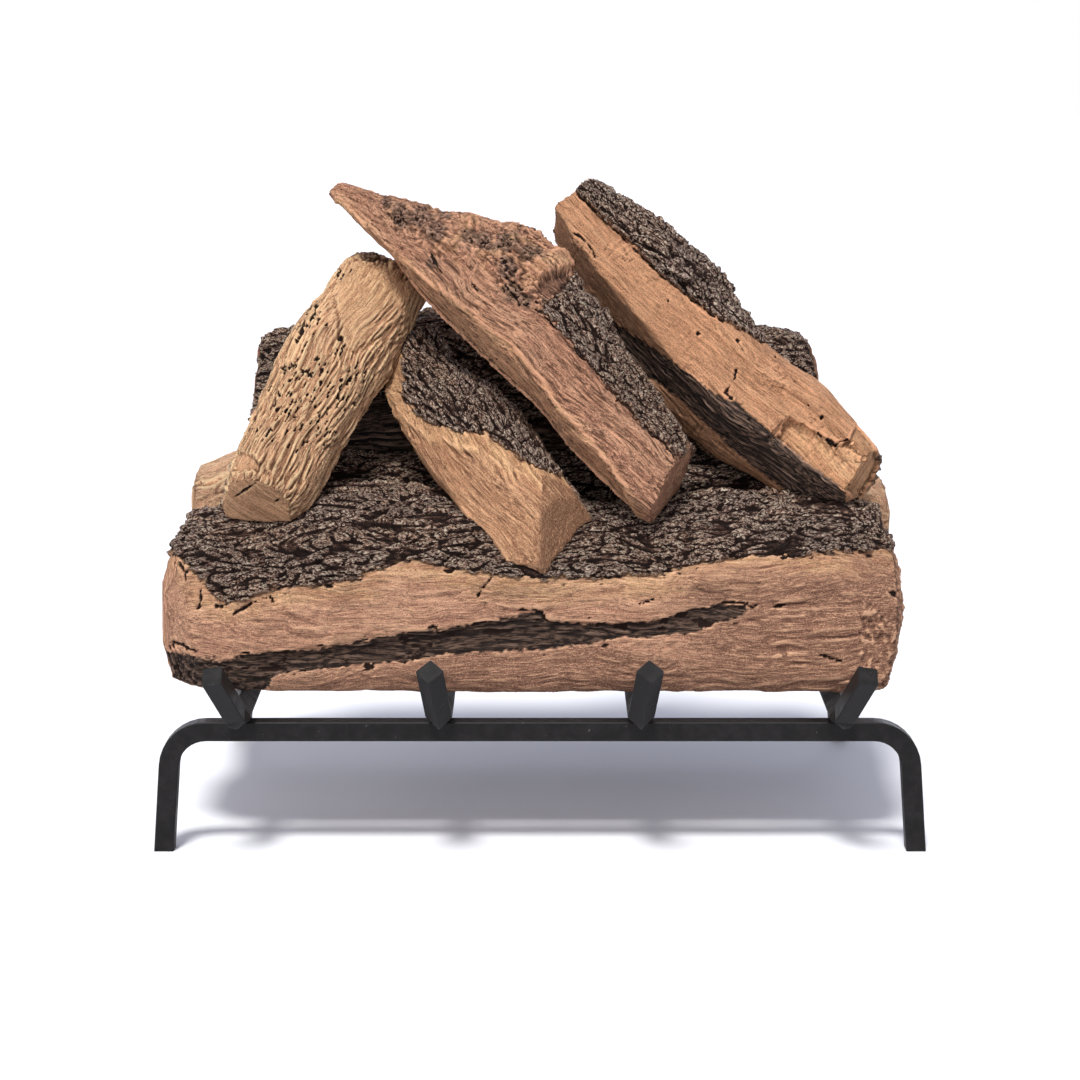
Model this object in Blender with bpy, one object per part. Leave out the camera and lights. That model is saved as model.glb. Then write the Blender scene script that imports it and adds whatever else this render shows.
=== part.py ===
"""A gas log set: seven cast refractory logs piled on a grate of square steel bar.

World frame in metres: +X to the viewer's right, +Y to the back, +Z up. The origin is on the floor,
below the middle of the whole set. Every log rests in seats moulded to the logs below it.
"""
import math

import bmesh
import bpy
from mathutils import Matrix, Vector, noise

MM = 0.001

# Grate: two bent rails that stand on the floor, four bars laid across them on edge
BAR_SIDE = 16.0 * MM
BAR_CHAMFER = 0.9 * MM
GRATE_WIDTH = 632.0 * MM
REAR_RAIL_WIDTH = 578.0 * MM
GRATE_HEIGHT = 109.0 * MM
LEG_SPLAY = math.radians(4.4)
RAIL_BEND_RADIUS = 23.0 * MM
RAIL_SPACING = 346.0 * MM
BAR_PITCH = 162.0 * MM
BAR_COUNT = 4
BAR_REAR_OVERHANG = 10.0 * MM
BEND_STEPS = 8

# Fingers: the bars' front ends, bent up to hold the front log
FINGER_START = 25.0 * MM
FINGER_BEND_RADIUS = 9.0 * MM
FINGER_LENGTH = 62.0 * MM
INNER_FINGER_RISE = math.radians(49.5)
INNER_FINGER_TURN = math.radians(8.0)
OUTER_FINGER_RISE = math.radians(45.0)
OUTER_FINGER_TURN = math.radians(19.0)
OUTER_FINGER_TWIST = math.radians(38.0)

# Weld beads: one in each angle between a bar and a rail
WELD_LEG = 6.0 * MM
WELD_INSET = 1.5 * MM

# Clearances
SEAT_GAP = 0.35 * MM
REST_GAP = 0.3 * MM

# Logs: length, depth from front to back and height of each, before it is laid in its place
FRONT_LENGTH, FRONT_DEPTH, FRONT_HEIGHT = 541.0 * MM, 126.0 * MM, 156.0 * MM
BASE_LENGTH, BASE_DEPTH, BASE_HEIGHT = 592.0 * MM, 176.0 * MM, 170.0 * MM
CROWN_LENGTH, CROWN_DEPTH, CROWN_HEIGHT = 508.0 * MM, 116.0 * MM, 108.0 * MM
LEFT_LENGTH, LEFT_DEPTH, LEFT_HEIGHT = 250.0 * MM, 90.0 * MM, 86.0 * MM
CENTRE_LENGTH, CENTRE_DEPTH, CENTRE_HEIGHT = 248.0 * MM, 92.0 * MM, 100.0 * MM
RIGHT_LENGTH, RIGHT_DEPTH, RIGHT_HEIGHT = 349.0 * MM, 84.0 * MM, 118.0 * MM
LONG_LENGTH, LONG_DEPTH, LONG_HEIGHT = 385.0 * MM, 92.0 * MM, 110.0 * MM

# Where the two logs on the bars stand, and the gap between them
FRONT_SETBACK = 2.0 * MM
LOG_SPACE = 8.0 * MM
CROWN_SETBACK_SHARE = 0.24
FRONT_SHIFT = 7.5 * MM
BASE_SHIFT = 1.0 * MM
CROWN_SHIFT = 1.0 * MM
CROWN_SINK = 3.0 * MM

# Step broken out of the right log's face at its lower end: its length, and its outline across the
# log as depth share and height share
STEP_LENGTH = 72.0 * MM
STEP_OUTLINE_SHARES = ((-0.306, -0.075), (-0.631, 0.031), (-0.893, -0.381), (-0.583, -0.508))
OVERRUN = 30.0 * MM

# Charred strip sunk in the front log's face, as length share and height share
STRIP_DEPTH = 6.5 * MM
STRIP_OUTLINE_SHARES = (
    (-0.09, 0.22), (0.01, 0.18), (0.08, 0.23), (0.23, 0.29), (0.40, 0.38), (0.49, 0.43), (0.50, 0.39),
    (0.60, 0.38), (0.66, 0.39), (0.76, 0.48), (0.80, 0.46), (0.73, 0.35), (0.60, 0.30), (0.47, 0.24),
    (0.37, 0.22), (0.26, 0.18), (0.12, 0.13), (0.08, 0.06), (0.07, -0.08), (-0.09, -0.08),
)

# Surface of the castings
FACET = 17.0 * MM
BARK_RELIEF = 4.0 * MM
THICK_BARK_RELIEF = 7.5 * MM
WOOD_RELIEF = 1.6 * MM
RELIEF_SCALE = 34.0 * MM
GRAIN_STRETCH = 3.0
BARK_STRETCH = 1.6
CAP_SHRINK_SHARE = 0.5

# Outline of each log's section: depth share, height share, and 1 where the side that starts there
# is bark. The points run from the lower front edge, up the front, over the top and down the back.
FRONT_SECTION_SHARES = (
    (0.05, 0.00, 0), (0.00, 0.10, 0), (0.02, 0.62, 1), (0.22, 0.80, 1), (0.50, 0.93, 1),
    (0.78, 1.00, 1), (0.95, 0.88, 1), (1.00, 0.55, 1), (0.95, 0.10, 0), (0.86, 0.00, 0),
)
BASE_SECTION_SHARES = (
    (0.06, 0.00, 0), (0.00, 0.12, 0), (0.01, 0.55, 0), (0.06, 0.93, 0), (0.20, 1.00, 0),
    (0.62, 0.98, 1), (0.88, 0.84, 1), (1.00, 0.52, 1), (0.94, 0.16, 1), (0.82, 0.00, 0),
)
CROWN_SECTION_SHARES = (
    (0.12, 0.00, 0), (0.00, 0.22, 0), (0.02, 0.48, 1), (0.14, 0.78, 1), (0.36, 0.97, 1),
    (0.62, 1.00, 1), (0.86, 0.84, 1), (1.00, 0.52, 1), (0.97, 0.18, 1), (0.80, 0.00, 0),
)
LEFT_SECTION_SHARES = (
    (0.30, 0.00, 0), (0.06, 0.18, 0), (0.00, 0.50, 0), (0.10, 0.84, 0), (0.34, 1.00, 0),
    (0.70, 0.96, 1), (0.96, 0.70, 1), (1.00, 0.36, 1), (0.78, 0.08, 0),
)
CENTRE_SECTION_SHARES = (
    (0.60, 0.00, 0), (0.11, 0.15, 0), (0.00, 0.57, 0), (0.05, 0.66, 1), (0.24, 0.86, 1),
    (0.52, 1.00, 1), (0.84, 0.90, 1), (1.00, 0.62, 1), (0.92, 0.22, 0),
)
RIGHT_SECTION_SHARES = (
    (0.66, 0.00, 0), (0.48, 0.08, 0), (0.36, 0.19, 0), (0.00, 0.39, 0), (0.20, 0.76, 0),
    (0.16, 0.80, 1), (0.30, 0.92, 1), (0.58, 1.00, 1), (0.86, 0.88, 1), (1.00, 0.56, 1),
    (0.92, 0.16, 1), (0.80, 0.02, 1),
)
LONG_SECTION_SHARES = (
    (0.34, 0.00, 0), (0.00, 0.16, 0), (0.08, 0.60, 0), (0.05, 0.64, 1), (0.28, 0.88, 1),
    (0.58, 1.00, 1), (0.90, 0.84, 1), (1.00, 0.44, 0), (0.74, 0.08, 0),
)

# How each log swells and thins along its length: length share, lowest and highest height share,
# front and back depth share
FRONT_STATION_SHARES = (
    (0.00, 0.00, 0.86, 0.10, 0.94), (0.08, 0.00, 0.88, 0.00, 1.00), (0.22, 0.00, 1.03, 0.00, 1.00),
    (0.42, 0.00, 1.00, 0.02, 1.00), (0.62, 0.00, 0.93, 0.00, 1.00), (0.78, 0.00, 0.98, 0.02, 1.00),
    (0.93, 0.00, 0.98, 0.00, 1.00), (1.00, 0.00, 0.90, 0.04, 0.94),
)
BASE_STATION_SHARES = (
    (0.00, 0.02, 0.90, 0.06, 0.90), (0.08, 0.00, 1.00, 0.00, 1.00), (0.50, 0.00, 1.00, 0.03, 0.98),
    (0.94, 0.00, 0.97, 0.00, 1.00), (1.00, 0.06, 0.84, 0.06, 0.92),
)
CROWN_STATION_SHARES = (
    (0.00, 0.04, 0.86, 0.08, 0.90), (0.08, 0.00, 0.99, 0.00, 1.00), (0.30, 0.00, 1.09, 0.02, 1.00),
    (0.46, 0.00, 1.00, 0.02, 1.00), (0.75, 0.00, 0.94, 0.00, 0.96), (0.94, 0.00, 0.98, 0.02, 0.98),
    (1.00, 0.02, 0.88, 0.10, 0.92),
)
LEFT_STATION_SHARES = (
    (0.00, -0.40, 0.27, -0.44, 0.42), (0.07, -0.49, 0.35, -0.50, 0.48), (0.14, -0.50, 0.40, -0.50, 0.50),
    (0.36, -0.45, 0.48, -0.50, 0.50), (0.52, -0.45, 0.55, -0.50, 0.50), (0.64, -0.48, 0.58, -0.50, 0.50),
    (0.83, -0.42, 0.51, -0.48, 0.50), (0.92, -0.40, 0.53, -0.44, 0.48), (1.00, -0.37, 0.45, -0.40, 0.44),
)
CENTRE_STATION_SHARES = (
    (0.00, -0.13, 0.31, -0.22, 0.30), (0.07, -0.34, 0.27, -0.30, 0.40), (0.15, -0.46, 0.26, -0.40, 0.46),
    (0.26, -0.53, 0.27, -0.44, 0.50), (0.35, -0.56, 0.33, -0.48, 0.50), (0.52, -0.58, 0.40, -0.50, 0.50),
    (0.70, -0.63, 0.38, -0.50, 0.50), (0.84, -0.58, 0.34, -0.50, 0.44), (1.00, -0.36, 0.30, -0.44, 0.34),
)
RIGHT_STATION_SHARES = (
    (0.00, -0.22, 0.32, -0.46, 0.46), (0.12, -0.40, 0.36, -0.48, 0.50), (0.23, -0.54, 0.39, -0.50, 0.50),
    (0.38, -0.64, 0.42, -0.50, 0.50), (0.49, -0.68, 0.31, -0.50, 0.50), (0.64, -0.67, 0.22, -0.50, 0.50),
    (0.80, -0.58, 0.26, -0.50, 0.48), (0.92, -0.50, 0.22, -0.48, 0.44), (1.00, -0.41, 0.16, -0.44, 0.40),
)
LONG_STATION_SHARES = (
    (0.00, -0.06, 0.08, -0.13, 0.14), (0.08, -0.08, 0.19, -0.24, 0.28), (0.18, -0.09, 0.36, -0.34, 0.40),
    (0.31, -0.18, 0.58, -0.44, 0.50), (0.40, -0.20, 0.74, -0.48, 0.50), (0.50, -0.21, 0.77, -0.50, 0.50),
    (0.64, -0.22, 0.66, -0.50, 0.50), (0.79, -0.30, 0.50, -0.50, 0.50), (0.92, -0.33, 0.39, -0.50, 0.48),
    (1.00, -0.32, 0.31, -0.46, 0.42),
)

# Places of the leaning logs' left and right ends, as shares of the box of the log under each
LEFT_FOOT_SHARES = (0.042, 0.460, 0.912)
LEFT_HEAD_SHARES = (0.250, 0.171, 1.392)
CENTRE_HEAD_SHARES = (0.274, 0.000, 0.871)
CENTRE_FOOT_SHARES = (0.537, 0.270, 0.734)
RIGHT_HEAD_SHARES = (0.546, 0.464, 1.898)
RIGHT_FOOT_SHARES = (0.989, 0.683, 1.100)
LONG_HEAD_SHARES = (0.156, 0.041, 2.120)
LONG_FOOT_SHARES = (0.688, 0.540, 1.034)

# How each log's left and right ends are cut: slope along Y, slope along Z, the depth share behind
# which the slope along Y ends, and the end's swelling at mid height as a share of the height
FRONT_END_SHARES = ((-0.90, 0.09, 0.36, -0.10), (0.22, -0.05, 0.30, 0.09))
BASE_END_SHARES = ((-0.05, 0.00, 1.00, -0.02), (0.03, 0.00, 1.00, 0.02))
CROWN_END_SHARES = ((0.00, 0.10, 1.00, 0.00), (0.00, -0.22, 1.00, 0.00))
LEFT_END_SHARES = ((-0.33, 0.00, 1.00, 0.00), (0.00, 0.00, 1.00, 0.00))
CENTRE_END_SHARES = ((0.00, 0.00, 1.00, 0.00), (0.50, -0.95, 1.00, 0.00))
RIGHT_END_SHARES = ((0.00, 0.00, 1.00, 0.00), (0.00, -0.15, 1.00, 0.03))
LONG_END_SHARES = ((0.00, 0.00, 1.00, 0.00), (0.00, -0.29, 1.00, 0.00))

# Start of each log's own surface pattern, and how deep its bark is
FRONT_SURFACE = (3.7, THICK_BARK_RELIEF)
BASE_SURFACE = (11.3, BARK_RELIEF)
CROWN_SURFACE = (23.9, THICK_BARK_RELIEF)
LEFT_SURFACE = (31.1, BARK_RELIEF)
CENTRE_SURFACE = (43.7, BARK_RELIEF)
RIGHT_SURFACE = (57.3, BARK_RELIEF)
LONG_SURFACE = (71.9, BARK_RELIEF)

# Colours
STEEL_COLOUR = (0.028, 0.029, 0.030)
WELD_COLOUR = (0.024, 0.025, 0.026)
WOOD_COLOUR = (0.50, 0.29, 0.17)
BARK_COLOUR = (0.10, 0.075, 0.060)
STEEL_ROUGHNESS = 0.45
WELD_ROUGHNESS = 0.55
LOG_ROUGHNESS = 0.88


def clear_scene():
    for item in list(bpy.data.objects):
        bpy.data.objects.remove(item, do_unlink=True)


def make_material(name, colour, roughness, metallic=0.0):
    material = bpy.data.materials.new(name)
    material.use_nodes = True
    shader = material.node_tree.nodes["Principled BSDF"]
    shader.inputs["Base Color"].default_value = (*colour, 1.0)
    shader.inputs["Roughness"].default_value = roughness
    shader.inputs["Metallic"].default_value = metallic
    return material


def make_object(name, bm, material, place=Matrix.Identity(4)):
    bmesh.ops.recalc_face_normals(bm, faces=bm.faces[:])
    mesh = bpy.data.meshes.new(name)
    bm.to_mesh(mesh)
    bm.free()
    mesh.materials.append(material)
    item = bpy.data.objects.new(name, mesh)
    item.matrix_world = place
    bpy.context.scene.collection.objects.link(item)
    return item


def loft(rings):
    """Skin a row of rings of equal count and close both ends."""
    bm = bmesh.new()
    loops = [[bm.verts.new(point) for point in ring] for ring in rings]
    count = len(loops[0])
    for here, there in zip(loops, loops[1:]):
        for i in range(count):
            j = (i + 1) % count
            bm.faces.new((here[i], here[j], there[j], there[i]))
    for loop in (loops[0], loops[-1]):
        bm.faces.new(loop)
    return bm


def rounded_path(corners, radius):
    """The corner points of a bent bar, with each inner corner replaced by an arc."""
    path = [corners[0]]
    for before, corner, after in zip(corners, corners[1:], corners[2:]):
        arriving = (corner - before).normalized()
        leaving = (after - corner).normalized()
        turn = arriving.angle(leaving)
        start = corner - arriving * radius * math.tan(turn / 2)
        inward = (leaving - arriving * arriving.dot(leaving)).normalized()
        centre = start + inward * radius
        for step in range(BEND_STEPS + 1):
            angle = turn * step / BEND_STEPS
            path.append(centre + (arriving * math.sin(angle) - inward * math.cos(angle)) * radius)
    path.append(corners[-1])
    return path


def square_section(across, up):
    """Corner offsets of the square bar, its edges broken by the chamfer."""
    half = BAR_SIDE / 2
    short = half - BAR_CHAMFER
    corners = ((half, short), (short, half), (-short, half), (-half, short),
               (-half, -short), (-short, -half), (short, -half), (half, -short))
    return [across * a + up * b for a, b in corners]


def bend_bar(name, path, section, material, start_normal=None, end_normal=None, twist=0.0):
    """Run the bar's section along the path, mitred at each point, and cut its ends square or level.

    A twist is shared out over the points of the bend, past its first.
    """
    twist_step = twist / max(1, len(path) - 3)
    points = [path[0] + offset for offset in section]
    rings = []
    for k, place in enumerate(path):
        arriving = (place - path[k - 1]).normalized() if k else (path[1] - place).normalized()
        leaving = (path[k + 1] - place).normalized() if k + 1 < len(path) else arriving
        normal = (arriving + leaving).normalized()
        if k == 0 and start_normal:
            normal = start_normal
        if k + 1 == len(path) and end_normal:
            normal = end_normal
        points = [p + arriving * ((place - p).dot(normal) / arriving.dot(normal)) for p in points]
        if 1 < k < len(path) - 1:
            turn = Matrix.Rotation(twist_step, 3, normal)
            points = [place + turn @ (p - place) for p in points]
        rings.append(points)
    return make_object(name, loft(rings), material)


def make_rail(name, width, y_centre, material):
    """A bar bent into a low bridge on two splayed legs, its feet cut level with the floor."""
    foot_x = width / 2 - BAR_SIDE / 2 / math.cos(LEG_SPLAY)
    centre_z = GRATE_HEIGHT - BAR_SIDE / 2
    corner_x = foot_x - centre_z * math.tan(LEG_SPLAY)
    corners = [Vector((x, y_centre, z)) for x, z in
               ((-foot_x, 0.0), (-corner_x, centre_z), (corner_x, centre_z), (foot_x, 0.0))]
    path = rounded_path(corners, RAIL_BEND_RADIUS + BAR_SIDE / 2)
    leg = (corners[1] - corners[0]).normalized()
    back = Vector((0.0, 1.0, 0.0))
    section = square_section(back.cross(leg), back)
    floor_normal = Vector((0.0, 0.0, 1.0))
    return bend_bar(name, path, section, material, floor_normal, floor_normal)


def bar_places():
    middle = (BAR_COUNT - 1) / 2
    return [(index - middle) * BAR_PITCH for index in range(BAR_COUNT)]


def half_diagonal():
    return BAR_SIDE / math.sqrt(2) - BAR_CHAMFER / math.sqrt(2)


def bar_ridge():
    """Height of the bars' upper ridge, on which the logs rest."""
    return GRATE_HEIGHT + 2 * half_diagonal() + REST_GAP


def make_bar(name, x, material):
    """A bar laid on edge over both rails, its front end bent up into a finger."""
    outer = abs(x) > BAR_PITCH
    rise = OUTER_FINGER_RISE if outer else INNER_FINGER_RISE
    turn = math.copysign(OUTER_FINGER_TURN if outer else INNER_FINGER_TURN, x)
    axis_z = GRATE_HEIGHT + REST_GAP + half_diagonal()
    bend = Vector((x, FRONT_Y - FINGER_START, axis_z))
    finger = Vector((math.cos(rise) * math.sin(turn), -math.cos(rise) * math.cos(turn), math.sin(rise)))
    rear = Vector((x, FRONT_Y + BAR_SIDE + RAIL_SPACING + BAR_REAR_OVERHANG, axis_z))
    path = rounded_path([rear, bend, bend + finger * FINGER_LENGTH], FINGER_BEND_RADIUS)
    lean = math.pi / 4
    across = Vector((math.cos(lean), 0.0, math.sin(lean)))
    up = Vector((-math.sin(lean), 0.0, math.cos(lean)))
    twist = math.copysign(OUTER_FINGER_TWIST, x) if outer else 0.0
    return bend_bar(name, path, square_section(across, up), material, twist=twist)


def make_weld(name, x, side, y_centre, material):
    """A bead that fills the angle between a bar's lower face and the rail's top."""
    near = REST_GAP * (1 + math.sqrt(2))
    reach = WELD_LEG * math.cos(math.pi / 4)
    middle = (reach + WELD_LEG) / 2
    outline = ((near, REST_GAP), (WELD_LEG, REST_GAP), (middle, reach / 2), (reach, reach - near + REST_GAP))
    half_length = BAR_SIDE / 2 - WELD_INSET
    rings = [[Vector((x + side * a, y, GRATE_HEIGHT + b)) for a, b in outline]
             for y in (y_centre - half_length, y_centre + half_length)]
    return make_object(name, loft(rings), material)


def between(low, high, share):
    return low + (high - low) * share


def station_at(stations, share):
    """A log's box at one share of its length, eased between the stations on either side."""
    for before, after in zip(stations, stations[1:]):
        if share <= after[0]:
            part = (share - before[0]) / (after[0] - before[0])
            eased = part * part * (3 - 2 * part)
            return [between(a, b, eased) for a, b in zip(before[1:], after[1:])]
    return stations[-1][1:]


def section_points(section, depth, height):
    """The section's outline with its sides divided, as depth share, height share and bark share."""
    points = []
    for here, there in zip(section, section[1:] + section[:1]):
        side = math.hypot((there[0] - here[0]) * depth, (there[1] - here[1]) * height)
        pieces = max(1, round(side / FACET))
        for step in range(pieces):
            part = step / pieces
            points.append((between(here[0], there[0], part), between(here[1], there[1], part), here[2]))
    return points


def relief(point, bark, seed, bark_relief):
    """How far the casting's surface stands out at a point of the log."""
    offset = Vector((seed, seed, seed))
    stretch = BARK_STRETCH if bark else GRAIN_STRETCH
    grain = Vector((point.x / stretch, point.y, point.z))
    return noise.noise(grain / RELIEF_SCALE + offset) * (bark_relief if bark else WOOD_RELIEF)


def end_slant(end, depth, height, y, z, z_share):
    """How far an end stands out along X at one point of its face."""
    slope_y, slope_z, knee, swell = end
    return slope_y * min(y, knee * depth) + slope_z * z + swell * height * 4 * z_share * (1 - z_share)


def log_ring(size, outline, stations, ends, surface, share, shrink, flat_bottom):
    """The log's outline at one share of its length, drawn in towards its middle by the shrink."""
    length, depth, height = size
    low, high, front, back = station_at(stations, share)
    middle = Vector((0.0, between(front, back, 0.5) * depth, between(low, high, 0.5) * height))
    ring = []
    for y_share, z_share, bark in outline:
        y_share = between(0.5, y_share, shrink)
        z_share = between(0.5, z_share, shrink)
        y = between(front, back, y_share) * depth
        z = between(low, high, z_share) * height
        slants = [end_slant(end, depth, height, y, z, z_share) for end in ends]
        point = Vector((share * length + between(*slants, share), y, z))
        outward = (Vector((0.0, y, z)) - middle).normalized()
        point += outward * relief(point, bark, *surface)
        if flat_bottom:
            point.z = max(point.z, 0.0)
        ring.append(point)
    return ring


def make_log(name, size, section, stations, ends, surface, colour, place, flat_bottom=False):
    """A split log lofted along its local X, with a roughly flat face at each end."""
    length, depth, height = size
    outline = section_points(section, depth, height)
    ring_count = max(2, round(length / FACET))
    cuts = [(k / ring_count, 1.0) for k in range(ring_count + 1)]
    cuts = [(0.0, CAP_SHRINK_SHARE), *cuts, (1.0, CAP_SHRINK_SHARE)]
    rings = [log_ring(size, outline, stations, ends, surface, share, shrink, flat_bottom)
             for share, shrink in cuts]
    bm = loft(rings)
    bmesh.ops.triangulate(bm, faces=bm.faces[:])
    return make_object(name, bm, make_material(f"{name}_cement", colour, LOG_ROUGHNESS), place)


def hide_cutter(cutter):
    cutter.hide_render = True
    cutter.display_type = "WIRE"
    return cutter


def cut_away(log, cutters):
    for cutter in cutters:
        cut = log.modifiers.new(f"Cut by {cutter.name}", "BOOLEAN")
        cut.operation = "DIFFERENCE"
        cut.solver = "EXACT"
        cut.object = cutter


def cut_block(log, name, outlines):
    """Cut away the block between two like outlines."""
    cutter = make_object(name, loft(outlines), log.data.materials[0], log.matrix_world.copy())
    cut_away(log, [hide_cutter(cutter)])


def cut_broken_step(log, size):
    """Take a thin layer off the log's face near its right end."""
    length, depth, height = size
    outlines = [[Vector((x, y * depth, z * height)) for y, z in STEP_OUTLINE_SHARES]
                for x in (length - STEP_LENGTH, length + OVERRUN)]
    cut_block(log, "right_log_step_shape", outlines)


def cut_charred_strip(log, size):
    """Sink the charred strip into the log's front face."""
    length, _, height = size
    outlines = [[Vector((x * length, y, z * height)) for x, z in STRIP_OUTLINE_SHARES]
                for y in (-OVERRUN, STRIP_DEPTH)]
    cut_block(log, "front_log_strip_shape", outlines)


def make_seat_cutter(log):
    """A copy of a log, larger by the seat gap, that shapes the seats of the logs above it."""
    bm = bmesh.new()
    bm.from_mesh(log.data)
    bm.normal_update()
    moves = [v.normal * SEAT_GAP * v.calc_shell_factor() for v in bm.verts]
    for vertex, move in zip(bm.verts, moves):
        vertex.co += move
    cutter = make_object(f"{log.name}_seat_shape", bm, log.data.materials[0], log.matrix_world.copy())
    return hide_cutter(cutter)


def box_point(corner, size, shares):
    return Vector([start + extent * share for start, extent, share in zip(corner, size, shares)])


def on_front(shares):
    return box_point(FRONT_CORNER, FRONT_SIZE, shares)


def on_crown(shares):
    return box_point(CROWN_CORNER, CROWN_SIZE, shares)


def aim(left_end, right_end):
    """A place with its local X from end to end and its local Y as square to the back as that allows."""
    along = (right_end - left_end).normalized()
    back = Vector((0.0, 1.0, 0.0))
    back = (back - along * back.dot(along)).normalized()
    up = along.cross(back)
    turned = Matrix((along, back, up)).transposed().to_4x4()
    return Matrix.Translation(left_end) @ turned


# Places along Y, so that the whole set is centred on the origin
finger_front = FINGER_START + math.cos(INNER_FINGER_RISE) * math.cos(INNER_FINGER_TURN) * FINGER_LENGTH
finger_front += math.sin(INNER_FINGER_RISE) * half_diagonal()
rear_reach = BAR_SIDE + RAIL_SPACING + BAR_REAR_OVERHANG
FRONT_Y = (finger_front - rear_reach) / 2

FRONT_SIZE = (FRONT_LENGTH, FRONT_DEPTH, FRONT_HEIGHT)
BASE_SIZE = (BASE_LENGTH, BASE_DEPTH, BASE_HEIGHT)
CROWN_SIZE = (CROWN_LENGTH, CROWN_DEPTH, CROWN_HEIGHT)
LEFT_SIZE = (LEFT_LENGTH, LEFT_DEPTH, LEFT_HEIGHT)
CENTRE_SIZE = (CENTRE_LENGTH, CENTRE_DEPTH, CENTRE_HEIGHT)
RIGHT_SIZE = (RIGHT_LENGTH, RIGHT_DEPTH, RIGHT_HEIGHT)
LONG_SIZE = (LONG_LENGTH, LONG_DEPTH, LONG_HEIGHT)

FRONT_CORNER = Vector((FRONT_SHIFT - FRONT_LENGTH / 2, FRONT_Y + FRONT_SETBACK, bar_ridge() + REST_GAP))
BASE_CORNER = Vector((BASE_SHIFT - BASE_LENGTH / 2, FRONT_CORNER.y + FRONT_DEPTH + LOG_SPACE,
                      bar_ridge() + REST_GAP))
CROWN_CORNER = Vector((CROWN_SHIFT - CROWN_LENGTH / 2, BASE_CORNER.y + BASE_DEPTH * CROWN_SETBACK_SHARE,
                       BASE_CORNER.z + BASE_HEIGHT - CROWN_SINK))


def make_grate():
    steel = make_material("grate_steel", STEEL_COLOUR, STEEL_ROUGHNESS)
    weld = make_material("weld_bead", WELD_COLOUR, WELD_ROUGHNESS)
    front_rail_y = FRONT_Y + BAR_SIDE / 2
    rear_rail_y = front_rail_y + RAIL_SPACING
    make_rail("front_rail", GRATE_WIDTH, front_rail_y, steel)
    make_rail("rear_rail", REAR_RAIL_WIDTH, rear_rail_y, steel)
    for number, x in enumerate(bar_places(), start=1):
        make_bar(f"grate_bar_{number}", x, steel)
        for rail, y in (("front", front_rail_y), ("rear", rear_rail_y)):
            for hand, side in (("left", -1), ("right", 1)):
                make_weld(f"weld_{rail}_{number}_{hand}", x, side, y, weld)


def make_pile():
    """The logs in the order in which they are laid. Each is seated on those laid before it."""
    base = make_log("rear_base_log", BASE_SIZE, BASE_SECTION_SHARES, BASE_STATION_SHARES,
                    BASE_END_SHARES, BASE_SURFACE, WOOD_COLOUR, Matrix.Translation(BASE_CORNER), True)
    front = make_log("front_log", FRONT_SIZE, FRONT_SECTION_SHARES, FRONT_STATION_SHARES,
                     FRONT_END_SHARES, FRONT_SURFACE, WOOD_COLOUR, Matrix.Translation(FRONT_CORNER), True)
    crown = make_log("rear_top_log", CROWN_SIZE, CROWN_SECTION_SHARES, CROWN_STATION_SHARES,
                     CROWN_END_SHARES, CROWN_SURFACE, BARK_COLOUR, Matrix.Translation(CROWN_CORNER))
    centre = make_log("centre_log", CENTRE_SIZE, CENTRE_SECTION_SHARES, CENTRE_STATION_SHARES,
                      CENTRE_END_SHARES, CENTRE_SURFACE, WOOD_COLOUR,
                      aim(on_crown(CENTRE_HEAD_SHARES), on_front(CENTRE_FOOT_SHARES)))
    left = make_log("left_log", LEFT_SIZE, LEFT_SECTION_SHARES, LEFT_STATION_SHARES,
                    LEFT_END_SHARES, LEFT_SURFACE, WOOD_COLOUR,
                    aim(on_front(LEFT_FOOT_SHARES), on_crown(LEFT_HEAD_SHARES)))
    right = make_log("right_log", RIGHT_SIZE, RIGHT_SECTION_SHARES, RIGHT_STATION_SHARES,
                     RIGHT_END_SHARES, RIGHT_SURFACE, WOOD_COLOUR,
                     aim(on_crown(RIGHT_HEAD_SHARES), on_front(RIGHT_FOOT_SHARES)))
    long_top = make_log("long_top_log", LONG_SIZE, LONG_SECTION_SHARES, LONG_STATION_SHARES,
                        LONG_END_SHARES, LONG_SURFACE, WOOD_COLOUR,
                        aim(on_crown(LONG_HEAD_SHARES), on_front(LONG_FOOT_SHARES)))
    cut_broken_step(right, RIGHT_SIZE)
    cut_charred_strip(front, FRONT_SIZE)
    cutters = []
    for log in (base, front, crown, centre, left, right, long_top):
        cut_away(log, cutters)
        cutters.append(make_seat_cutter(log))


clear_scene()
make_grate()
make_pile()
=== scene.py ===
"""Looks of the gas log set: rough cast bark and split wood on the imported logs, and worn black steel."""

import math

import bmesh
import bpy
import numpy as np
from mathutils import Euler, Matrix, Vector
from mathutils.bvhtree import BVHTree
from mathutils.kdtree import KDTree


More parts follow.
